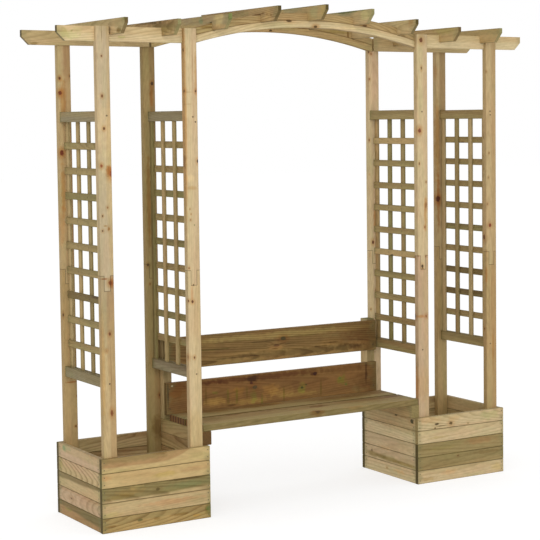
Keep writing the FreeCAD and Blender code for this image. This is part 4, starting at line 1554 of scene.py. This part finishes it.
def posts() -> List[Post]:
    """The eight posts with their splices, screws, knots and stains."""
    front, back = Face(Axis.Y, -218), Face(Axis.Y, 190)
    return [
        Post("left_outer_front", Look(Tone.TAN, Tone.CLAY, 0.0, 0.0, 71.0, 0.55),
             Look(Tone.PALE_TAN, Tone.SAP_YELLOW, 0.01),
             ((0.042, 1.742), (0.032, 0.625)), front.marks(
            (-1021, 1187, 50, 480, 80, 83, 90, 30), (-1005, 1946, 50, 220, 84, 90, 98, 30),
            (-997, 1909, 50, 330, 100, 94, 95, 40), (-1009, 2081, 1.8, 50, 60, 55, 45, 10),
            (-1032, 687, 12, 260, 100, 88, 72, 30), (-996, 675, 1.6, 150, 66, 58, 45, 10),
            (-987, 1517, 20, 24, 84, 56, 34, 60), (-1008, 1286, 10, 4.5, 72, 58, 38, 30),
            (-1020, 1066, 18, 4, 70, 46, 34, 50), (-986, 1047, 10, 22, 86, 64, 42, 40),
            (-1011, 1987, 3.5, "6B4526", 90, 40), (-1012, 1823, 4.5, "6E4424"),
            Knot((-1.035, -0.229, 1.798), 0.005, "4E3A22", halo=0.3), (-1006, 1689, 4.5, "5E3C20", 90, 70),
            Knot((-1.035, -0.228, 1.589), 0.004, "5A4028"), (-1021, 1535, 5, "8A4A2A", 90, 80),
            Knot((-1.035, -0.23, 1.552), 0.005, "7A4428"), (-974, 1501, 11, "8C4626", 90, 100, 80),
            (-997, 1362, 3.5, "8A6238", 90, 40), (-1020, 1328, 3, "5A4428"), (-1021, 1266, 3, "4E3A24"),
            (-993, 1273, 5.5, "966C38", 90, 30), (-991, 1048, 7.5, "7A3E1C", 90, 90), (-998, 835, 5, "6A3A22"),
            (-1015, 765, 4, "9A7A52", 50), (-996, 502, 6, "7A4422", 90, 60, 50))),
        Post("left_outer_back", Look(Tone.HONEY, Tone.OLIVE, 0.0, 0.0, 73.0, 0.5),
             Look(Tone.TAN, Tone.CLAY, -0.008),
             ((0.038, 1.739), (0.038, 0.63)), back.marks(
            (-1012, 1813, 16, 110, 90, 70, 50, 50, 30), (-1019, 1423, 12, 150, 88, 68, 48, 50, 30),
            (-1030, 1271, 20, 100, 100, 84, 74, 50, 30), (-999, 580, 30, 4, 72, 46, 28, 30),
            (-990, 1994, 30, 100, 88, 80, 80, 50), (-1026, 1907, 5, "5E3420", 90, 80),
            (-1026, 1843, 8, "6A2E1A", 90, 90, 80), (-980, 1916, 3, "4A3A26"), (-1002, 1683, 3, "6A6A5A", 90, 0),
            (-1023, 1584, 9, "6A2414", 90, 90), (-1035, 878, 4, "2E2014", 90, 60, 50), (-977, 516, 3, "5A4028"),
            (-985, 383, 4, "4A3018", 90, 90, 120))),
        Post("left_inner_front", Look(Tone.PALE_TAN, Tone.TAN, 0.0, 0.0, 75.0, 0.45),
             Look(Tone.PALE_TAN, Tone.ROSE_TAN, 0.004, 0.0, 0.0, 0.45),
             ((0.037, 1.735), (0.049, 1.713), (0.035, 0.629)), front.marks(
            Stain((-0.632, -0.209, 1.764), (0.01, 0.025, 0.62), (0.84, 0.66, 0.46), 0.2),
            Stain((-0.632, -0.206, 1.551), (0.01, 0.014, 0.04), (0.55, 0.48, 0.42), 0.5),
            (-593, 1912, 1.4, 190, 70, 52, 44, 15), (-616, 1840, 26, 1.6, 72, 62, 50, 20),
            (-617, 1789, 24, 1.6, 76, 66, 54, 20), (-609, 1474, 26, 20, 113, 112, 108, 40),
            (-609, 1432, 28, 10, 88, 78, 66, 50), (-613, 981, 8, 34, 100, 80, 70, 30),
            (-577, 1912, 8, 120, 90, 76, 64, 50), (-614, 378, 60, 110, 92, 88, 78, 15, 30),
            Knot((-0.632, -0.209, 2.018), 0.006, "4A3A1E", halo=0.3),
            Knot((-0.632, -0.212, 1.844), 0.005, "4E3A20"), (-580, 1844, 4, "4E3420"),
            (-575, 1546, 4.5, "4A3A2A", 90, 60, 60), (-616, 1342, 2, "6B4526", 60), (-611, 1320, 2, "6B4526", 60),
            (-614, 1295, 2.6, "8A6A48"), (-596, 1273, 3, "86865A", 90, 0), (-625, 1089, 3, "6A3A20"),
            (-605, 1015, 3, "3E3420", 90, 30), (-631, 948, 4, "5A3420"), (-611, 944, 5, "5A3420", 90, 70),
            Knot((-0.632, -0.208, 0.705), 0.006, "8A6A4A", depth=0.6), (-606, 702, 4, "5A3A22"))),
        Post("left_inner_back", Look(Tone.OLIVE, Tone.UMBER, 0.0, 0.0, 77.0, 0.5),
             Look(Tone.OLIVE, Tone.UMBER, 0.004),
             ((0.022, 1.739), (0.022, 0.63)), back.marks(
            (-612, 1366, 13, 250, 84, 66, 48, 40, 30), (-587, 1365, 8, 450, 104, 102, 82, 30),
            (-590, 1830, 10, 70, 94, 68, 42, 50), (-592, 335, 30, 60, 66, 58, 46, 40), (-587, 1886, 6, "3E2814"),
            (-623, 1074, 5, "4A3622"), (-614, 988, 3, "6B4526"), (-575, 480, 5, "5A3820", 90, 80))),
        Post("right_inner_front", Look(Tone.ROSE_TAN, Tone.TAN, 0.0, 0.0, 79.0, 0.4),
             Look(Tone.PALE_TAN, Tone.ROSE_TAN, 0.006, 0.0, 0.0, 0.45),
             ((0.028, 1.752), (0.024, 0.634)), front.marks(
            (617, 1273, 8, 110, 90, 72, 54, 60), (576, 1885, 2, 50, 72, 62, 48, 30),
            (587, 792, 32, 9, 92, 68, 46, 40), (598, 1018, 9, 6, 60, 50, 36, 30),
            Stain((0.572, -0.203, 0.466), (0.012, 0.015, 0.1), (0.94, 0.72, 0.52), 0.4),
            (596, 466, 40, 90, 100, 93, 84, 40), (597, 2084, 9, "6E3A22", 90, 60, 80),
            Knot((0.572, -0.197, 2.052), 0.004, "4A3A1E"), (598, 1954, 3, "5A4428", 90, 60, 40),
            (586, 1664, 8, "7A3A28", 90, 80), (583, 1510, 3, "5A4028", 90, 60, 50), (621, 1423, 3, "6A4A30"),
            (620, 1315, 5, "8A6038", 90, 60, 40), (613, 1212, 4, "8A5A34"), (572, 1078, 3.5, "3E2E1C", 90, 60, 140),
            Knot((0.572, -0.194, 1.072), 0.004, "6A3E26"), (617, 1075, 3, "6B4526"),
            (597, 1029, 6, "3A2A18", 90, 40), Knot((0.572, -0.191, 0.793), 0.008, "2E1E12"),
            (617, 792, 5, "8A5530"), Knot((0.572, -0.186, 0.564), 0.003, "6B4526"))),
        Post("right_inner_back", Look(Tone.CREAM, Tone.ROSE_TAN, -0.01, 0.0, 81.0),
             Look(Tone.CREAM, Tone.ROSE_TAN, -0.01, 0.0, 0.0, 0.55),
             ((0.022, 1.739), (0.022, 0.63)), back.marks(
            (593, 1909, 50, 180, 102, 93, 95, 30, 30), (606, 1236, 12, 70, 90, 70, 50, 60),
            (574, 2044, 4, "5A3A28"), (588, 2035, 4, "8A5A3A"), (578, 1914, 3.5, "8A5A3C"),
            (572, 1618, 4, "7A4A2E"), (567, 1450, 4, "8A5A3C", 90, 60, 120), (612, 1236, 7, "2A1A10", 90, 60, 45),
            (590, 1119, 6, "5A2818", 90, 60, 70), (562, 1057, 6, "3A2010", 90, 60, 70), (575, 790, 3, "8A7A5A"),
            (606, 882, 4, "3A2614"), (614, 842, 4, "3A2A18"))),
        Post("right_outer_front", Look(Tone.HONEY, Tone.CLAY, 0.0, 0.0, 83.0, 0.5),
             Look(Tone.TAN, Tone.CLAY, 0.006, 0.0, 0.0, 0.4),
             ((0.025, 1.752), (0.026, 1.735), (0.022, 0.63)), front.marks(
            Stain((0.975, -0.19, 1.643), (0.01, 0.014, 0.038), (0.6, 0.54, 0.46), 1),
            Stain((0.975, -0.19, 1.489), (0.01, 0.014, 0.05), (0.66, 0.6, 0.5), 1),
            (972, 965, 10, 60, 94, 70, 48, 40, 15), (990, 842, 1.3, 180, 62, 54, 42, 10),
            (1006, 841, 1.3, 160, 66, 58, 46, 10), (1013, 597, 8, 120, 95, 82, 64, 40),
            (979, 1941, 3, "8A7A50", 70), (993, 1552, 3, "6A5A40"), (989, 1434, 3, "8A7A5A"),
            (983, 1307, 3, "7A6A4A"), (997, 1205, 8, "7A2E1C", 90, 50, 100),
            Knot((0.975, -0.199, 1.147), 0.009, "5A2A18", halo=0.5), (972, 1081, 3, "3A2A1C"),
            Knot((0.975, -0.187, 0.821), 0.004, "6A4A2A"), Knot((0.975, -0.201, 0.703), 0.004, "4E341C"))),
        Post("right_outer_back", Look(Tone.HONEY, Tone.OLIVE, 0.0, 0.0, 85.0, 0.5),
             Look(Tone.TAN, Tone.UMBER, -0.005, 0.0, 0.0, 0.5),
             ((0.022, 1.739), (0.022, 0.63)), back.marks(
            (960, 1862, 6, 60, 60, 48, 36, 50), (983, 1613, 16, 260, 88, 70, 52, 40, 30),
            (987, 1312, 12, 180, 84, 62, 46, 40, 30), (958, 1951, 10, "2E160C", 90, 80, 50),
            (984, 1317, 12, "4E1E10", 90, 90, 80), (1017, 663, 3, "6B4526")))]


def trellises() -> List[TrellisPanel]:
    """The four trellis panels."""
    return [
        TrellisPanel(
            "left_outer", 101.0, (Look(Tone.GREY_BROWN, Tone.DARK_OLIVE, 0.0, 0.02, 101.5, 0.4),
                                  Look(Tone.GREY_BROWN, Tone.OLIVE, 0.0, 0.0, 101.0, 0.4)),
            "woht", "uokooomoo", {
                "cross_laths": Face(Axis.X, -1015).marks((-111, 982, 55, 10, 50, 42, 36, 50)),
                "uprights": Face(Axis.X, -1007).marks(
                    (101, 1670, 8, 50, 45, 34, 28, 50), Knot((-1.008, 0.012, 1.43), 0.006, "3E3222", flat=1.2))}),
        TrellisPanel(
            "left_inner", 113.0, (Look(Tone.GREY_BROWN, Tone.DEEP_BROWN, 0.0, 0.02, 113.5, 0.4),
                                  Look(Tone.GREY_BROWN, Tone.DARK_OLIVE, 0.0, 0.02, 114.5, 0.5)),
            "uhhd", "umoudomuu", {
                "cross_laths": Face(Axis.X, -600).marks(
                    (81, 1178, 30, 10, 50, 44, 30, 50),
                    Stain((-0.599, 0.106, 1.056), (0.02, 0.03, 0.01), (0.6, 0.54, 0.4), 0.5))}),
        TrellisPanel(
            "right_inner", 127.0, (Look(Tone.OLIVE, Tone.UMBER, 0.0, 0.02, 127.5, 0.5),
                                   Look(Tone.OLIVE, Tone.DARK_OLIVE, 0.0, 0.02, 128.5, 0.4)),
            "tudw", "uoohuouoh", {
                "cross_laths": Face(Axis.X, 593).marks((29, 1063, 7, "33301C", 90, 0, 50))}),
        TrellisPanel(
            "right_outer", 139.0, (Look(Tone.OLIVE, Tone.DARK_OLIVE, 0.0, 0.02, 139.5, 0.5),
                                   Look(Tone.OLIVE, Tone.UMBER, 0.0, 0.02, 140.5, 0.4)),
            "htut", "ukkuduuuu")]


def roof() -> Roof:
    """The roof's timbers."""
    return Roof(
        beams={"beam_left_front": Look(Tone.CREAM, Tone.SAP_YELLOW, 0.0, 0.0, 151.0, 0.4, Tone.END_DARK),
               "beam_left_back": Look(Tone.TAN, Tone.OLIVE, 0.0, 0.02, 153.0, 0.4, Tone.END_DARK),
               "beam_right_front": Look(Tone.CREAM, Tone.SAP_YELLOW, 0.0, 0.02, 155.0, 0.35, Tone.TAN),
               "beam_right_back": Look(Tone.TAN, Tone.OLIVE, 0.0, 0.0, 157.0, 0.4, Tone.TAN)},
        strips={"arch_front_upper": Look(Tone.HONEY, Tone.OLIVE, 0.0, 0.0, 161.0, 0.35, Tone.TAN, figure=0.9),
                "arch_front_lower": Look(Tone.CREAM, Tone.SAP_YELLOW, 0.0, 0.0, 163.0, 0.35, Tone.TAN),
                "arch_back_upper": Look(Tone.HONEY, Tone.OLIVE, 0.0, 0.0, 165.0, 0.4, Tone.TAN),
                "arch_back_lower": Look(Tone.SAP_YELLOW, Tone.STRAW, 0.0, 0.0, 167.0, 0.4, Tone.TAN, figure=0.7)},
        slats=[Look(Tone.TAN, Tone.OLIVE, 0.0, 0.0, 171.0, 0.45, Tone.END_BROWN),
               Look(Tone.HONEY, Tone.UMBER, 0.01, 0.05, 173.0, 0.5, Tone.END_SAGE, figure=0.7),
               Look(Tone.HONEY, Tone.GREY_BROWN, 0.0, 0.03, 175.0, 0.45, Tone.END_SAGE),
               Look(Tone.HONEY, Tone.UMBER, 0.0, 0.06, 177.0, 0.5, Tone.END_DARK, figure=0.9),
               Look(Tone.HONEY, Tone.OLIVE, 0.0, 0.0, 179.0, 0.5, Tone.END_DARK),
               Look(Tone.TAN, Tone.OLIVE, 0.0, 0.0, 181.0, 0.45, Tone.END_SAGE),
               Look(Tone.TAN, Tone.OLIVE, 0.0, 0.0, 183.0, 0.45, Tone.END_DARK),
               Look(Tone.HONEY, Tone.OLIVE, 0.0, 0.0, 185.0, 0.5, Tone.END_BROWN, figure=0.8),
               Look(Tone.HONEY, Tone.OLIVE, 0.0, 0.0, 187.0, 0.5, Tone.END_SAGE)],
        marks={
            "beam_left_back": Face(Axis.X, -1145, 22).marks((182, 2052, 30, 8, 62, 58, 44, 80)),
            "beam_left_front": Face(Axis.Y, -202, 30).marks(
                (-1123, 2079, 60, 22, 90, 99, 86, 90), (-1131, 2089, 10, 6, 60, 66, 46, 90),
                (-1097, 2075, 14, 8, 80, 90, 68, 90), (-1184, 2078, 35, 30, 84, 84, 74, 60),
                (-914, 2067, 20, 8, 80, 90, 66, 80)),
            "roof_slat_1": Face(Axis.X, -968, 30).marks(
                (-300, 2090, 30, 13, 46, 40, 25, 30), (-360, 2135, 30, 10, 78, 92, 72, 50),
                (-12, 2130, 200, 10, 78, 80, 72, 50)),
            "roof_slat_2": Face(Axis.X, -728, 30).marks(
                (-93, 2135, 140, 7, 55, 52, 42, 40), (-236, 2111, 160, 30, 64, 64, 50, 50),
                (26, 2112, 100, 10, 95, 86, 66, 40)),
            "roof_slat_3": Face(Axis.X, -488, 30).marks(
                (-102, 2154, 25, 20, 68, 92, 92, 50), (31, 2162, 60, 22, 92, 92, 102, 40),
                (-267, 2153, 50, 36, 140, 146, 134, 30), (-356, 2152, 10, 40, 62, 78, 52, 40)),
            "roof_slat_4": Face(Axis.X, -248, 30).marks(
                (-17, 2192, 100, 18, 78, 86, 80, 50), (-171, 2180, 50, 4, 58, 48, 36, 30),
                (-267, 2177, 30, 30, 120, 118, 108, 40), (-224, 2183, 12, 4, 64, 56, 42, 50),
                (-259, 2177, 12, 4, 64, 56, 42, 50), (-293, 2171, 12, 4, 64, 56, 42, 50)),
            "roof_slat_5": Face(Axis.X, -8, 30).marks(
                (-155, 2223, 240, 5, 46, 58, 42, 30), (-257, 2197, 35, 32, 95, 110, 116, 40),
                (-67, 2213, 100, 16, 84, 98, 110, 40), (-333, 2201, 25, 30, 112, 110, 92, 30)),
            "roof_slat_6": Face(Axis.X, 232, 30).marks(
                (-162, 2206, 160, 6, 42, 54, 38, 30), (-136, 2198, 80, 16, 68, 76, 76, 40),
                (-310, 2183, 50, 30, 108, 122, 112, 40)),
            "roof_slat_7": Face(Axis.X, 472, 30).marks(
                (-318, 2163, 22, 22, 86, 74, 60, 50), (-213, 2164, 80, 30, 114, 122, 124, 30)),
            "roof_slat_8": Face(Axis.X, 712, 30).marks((-250, 2131, 100, 20, 92, 100, 82, 40)),
            "arch_front_upper": Face(Axis.Y, -202, 30).marks(
                (-104, 2156, 4.5, "4A3416", 90, 30, 35), (295, 2142, 6, "5A3A1C", 90, 50, 50),
                (109, 2144, 160, 2.8, 42, 34, 24, 30), (-301, 2134, 160, 3, 62, 56, 44, 40),
                (-400, 2155, 100, 3, 66, 60, 46, 30), (-522, 2118, 60, 8, 70, 62, 46, 40),
                (-483, 2131, 30, 6, 80, 68, 50, 50)),
            "arch_front_lower": Face(Axis.Y, -202, 30).marks(
                (-104, 2154, 4.5, "4A3416", 90, 30, 35), (33, 2132, 6, "4E3A1C", 90, 80, 60),
                (189, 2130, 100, 4, 115, 115, 110, 30)),
            "arch_back_lower": Face(Axis.Y, 182, 30).marks(
                (23, 2135, 5, "4A3A1A", 90, 30, 60), (210, 2148, 120, 3, 60, 54, 40, 40)),
            "arch_back_upper": Face(Axis.Y, 182, 30).marks(
                (451, 2123, 7, 30, 56, 46, 34, 30), (378, 2138, 90, 14, 80, 80, 60, 50))})


def bench() -> Bench:
    """The bench's timbers."""
    return Bench(
        boards={"seat_board_front": Look(Tone.OLIVE, Tone.UMBER, 0.0, 0.06, 191.0, 0.6, Tone.END_TEAK, figure=1.0),
                "seat_board_back": Look(Tone.OLIVE, Tone.UMBER, 0.0, -0.05, 193.0, 0.6, Tone.END_TEAK, figure=1.0),
                "back_board_lower": Look(Tone.CHESTNUT, Tone.BARK_BROWN, -0.08, 0.0, 195.0, 0.6, Tone.END_BROWN),
                "back_board_upper": Look(Tone.BRONZE, Tone.BARK_OLIVE, -0.02, 0.0, 197.0, 0.6, Tone.END_BROWN,
                                         figure=1.15, taper=0.05)},
        frame={"seat_bearer_left": Look(Tone.HONEY, Tone.OLIVE, 0.0, 0.0, 201.0, 0.5, Tone.END_RUST),
               "seat_bearer_right": Look(Tone.HONEY, Tone.OLIVE, 0.0, 0.0, 203.0, 0.5, Tone.GREY_OLIVE),
               "back_batten_left": Look(Tone.TAN, Tone.HONEY, 0.0, 0.0, 205.0, 0.4),
               "back_batten_right": Look(Tone.TAN, Tone.HONEY, 0.0, 0.0, 207.0, 0.4)},
        marks={
            "back_board_upper": Face(Axis.Y, 138, 30).marks(
                (55, 714, 560, 17, 146, 172, 180, 40), (136, 626, 400, 20, 66, 66, 60, 50),
                (604, 665, 240, 90, 74, 64, 54, 40), (-364, 696, 60, 60, 116, 118, 116, 40),
                (389, 624, 110, 15, 70, 66, 58, 50), (-70, 688, 100, 4, 58, 58, 46, 50),
                (153, 699, 100, 3, 66, 66, 50, 50), (49, 669, 110, 4, 66, 64, 54, 50),
                (-318, 672, 110, 4, 62, 70, 50, 40), (-229, 699, 130, 3, 66, 66, 52, 40),
                (-188, 626, 160, 4, 60, 56, 48, 40), (10, 651, 45, 13, 130, 122, 115, 50),
                (-1, 650, 22, 4, 55, 50, 44, 60), (309, 655, 75, 18, 118, 114, 106, 50),
                (321, 654, 45, 4, 60, 56, 46, 60), (247, 641, 50, 3, 62, 58, 48, 60),
                (44, 694, 9, "39371C", 80, 70, 60)),
            "back_board_lower": Face(Axis.Y, 138, 30).marks(
                (-73, 522, 400, 17, 58, 45, 36, 50), (-126, 520, 45, 16, 48, 42, 38, 60),
                (212, 509, 22, 11, 50, 40, 34, 60), (-367, 522, 100, 11, 74, 60, 46, 50),
                (-317, 433, 70, 18, 175, 200, 175, 40), (-138, 415, 110, 16, 135, 150, 130, 50),
                (-25, 456, 55, 30, 142, 142, 122, 50), (133, 421, 120, 13, 125, 140, 130, 50),
                (-201, 473, 50, 18, 122, 120, 95, 50), (144, 448, 24, 28, 98, 140, 85, 70),
                (370, 465, 30, 30, 88, 132, 70, 70), (-117, 432, 20, 32, 92, 128, 90, 60),
                (-326, 471, 22, 10, 86, 122, 80, 80), (-254, 450, 7, 40, 80, 104, 64, 30),
                (-207, 445, 8, 42, 74, 98, 56, 30), (-74, 408, 7, 34, 76, 100, 66, 30),
                (45, 430, 6, 50, 70, 78, 56, 30), (250, 438, 6, 50, 72, 80, 58, 30),
                (-368, 462, 6, 50, 76, 78, 60, 30), (-154, 459, 6, 40, 78, 88, 62, 30),
                (-234, 406, 30, 4, 50, 42, 34, 40), (-519, 509, 60, 55, 86, 70, 50, 30),
                (637, 455, 200, 100, 72, 68, 56, 40), (388, 517, 160, 16, 78, 72, 64, 40),
                (509, 491, 8, 70, 52, 46, 34, 40), (40, 444, 70, 30, 128, 138, 132, 50),
                (-338, 417, 70, 18, 124, 128, 128, 50), (-212, 446, 40, 20, 122, 124, 118, 50),
                (-560, 490, 6, 80, 34, 30, 26, 20), (-111, 478, 9, "48432A", 75, 40, 70),
                (-129, 499, 6, "4A2618", 90, 30), (145, 451, 6, "3E4420", 90, 0), (167, 463, 4, "474A22", 90, 0),
                (358, 476, 5, "5A6A30", 70, 0), (392, 444, 5, "566A30", 70, 0), (218, 511, 8, "3A1C10", 90, 40),
                (-539, 524, 4, "C8B892", 90, 0)),
            "seat_board_front": Face(Axis.Z, 402).marks(
                # The first row is painted shade: a dark line along the board's back edge, inside the gap to the rear
                # board.
                (0, -50, 1300, 4, 42, 36, 28, 0, 30), Knot((0.015, -0.216, 0.403), 0.01, "4A2E18", halo=0.9),
                Stain((0.015, -0.216, 0.403), (0.045, 0.03, 0.03), (0.84, 0.7, 0.56), 0.6),
                Stain((0.215, -0.216, 0.408), (0.07, 0.03, 0.02), (1.1, 0.94, 0.84), 0.4),
                (-342, -42, 80, 50, 74, 62, 48, 40), (33, -28, 340, 12, 66, 62, 48, 40),
                (87, -100, 50, 30, 62, 46, 34, 60), (528, -83, 100, 20, 70, 56, 42, 50),
                (423, -42, 240, 140, 80, 72, 58, 40), (-476, -66, 70, 100, 84, 80, 72, 40),
                (-126, -73, 100, 6, 70, 66, 54, 40), (294, -51, 120, 6, 70, 66, 54, 40)),
            "seat_board_back": [
                # Painted shade: a dark line along the board's front edge, inside the gap to the front board.
                Stain((0.0, -0.038, 0.394), (1.3, 0.004, 0.03), (0.3, 0.25, 0.19), 0.0),
                *Face(Axis.X, -568, 12).marks(
                    *((y, 388, 7, 45, 36, 30, 25, 30) for y in (97, 73, 48, 23, -1, -25))),
                *Face(Axis.Z, 402).marks(
                    (-352, 91, 120, 80, 78, 66, 50, 40), (-142, 84, 140, 60, 70, 58, 38, 40),
                    (285, 24, 180, 60, 72, 62, 46, 40), (526, 96, 220, 100, 84, 76, 60, 40),
                    (-34, 87, 50, 30, 120, 110, 95, 40))]})


def main() -> None:
    """Load the frame, dress every timber, set the fixings and set up the studio."""
    logging.basicConfig(level=logging.INFO, format="%(name)s: %(message)s")
    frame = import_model()
    dresser = Dresser(frame["nodes"], GroupMaker())
    fixings = Fixings()
    assemblies = [*planters(), *posts(), *trellises(), roof(), bench()]
    for assembly in assemblies:
        assembly.dress(dresser)
        assembly.fix(fixings)
    fixings.build()
    Studio().build()
    LOG.info("%d assemblies dressed", len(assemblies))


if __name__ == "__main__":
    main()
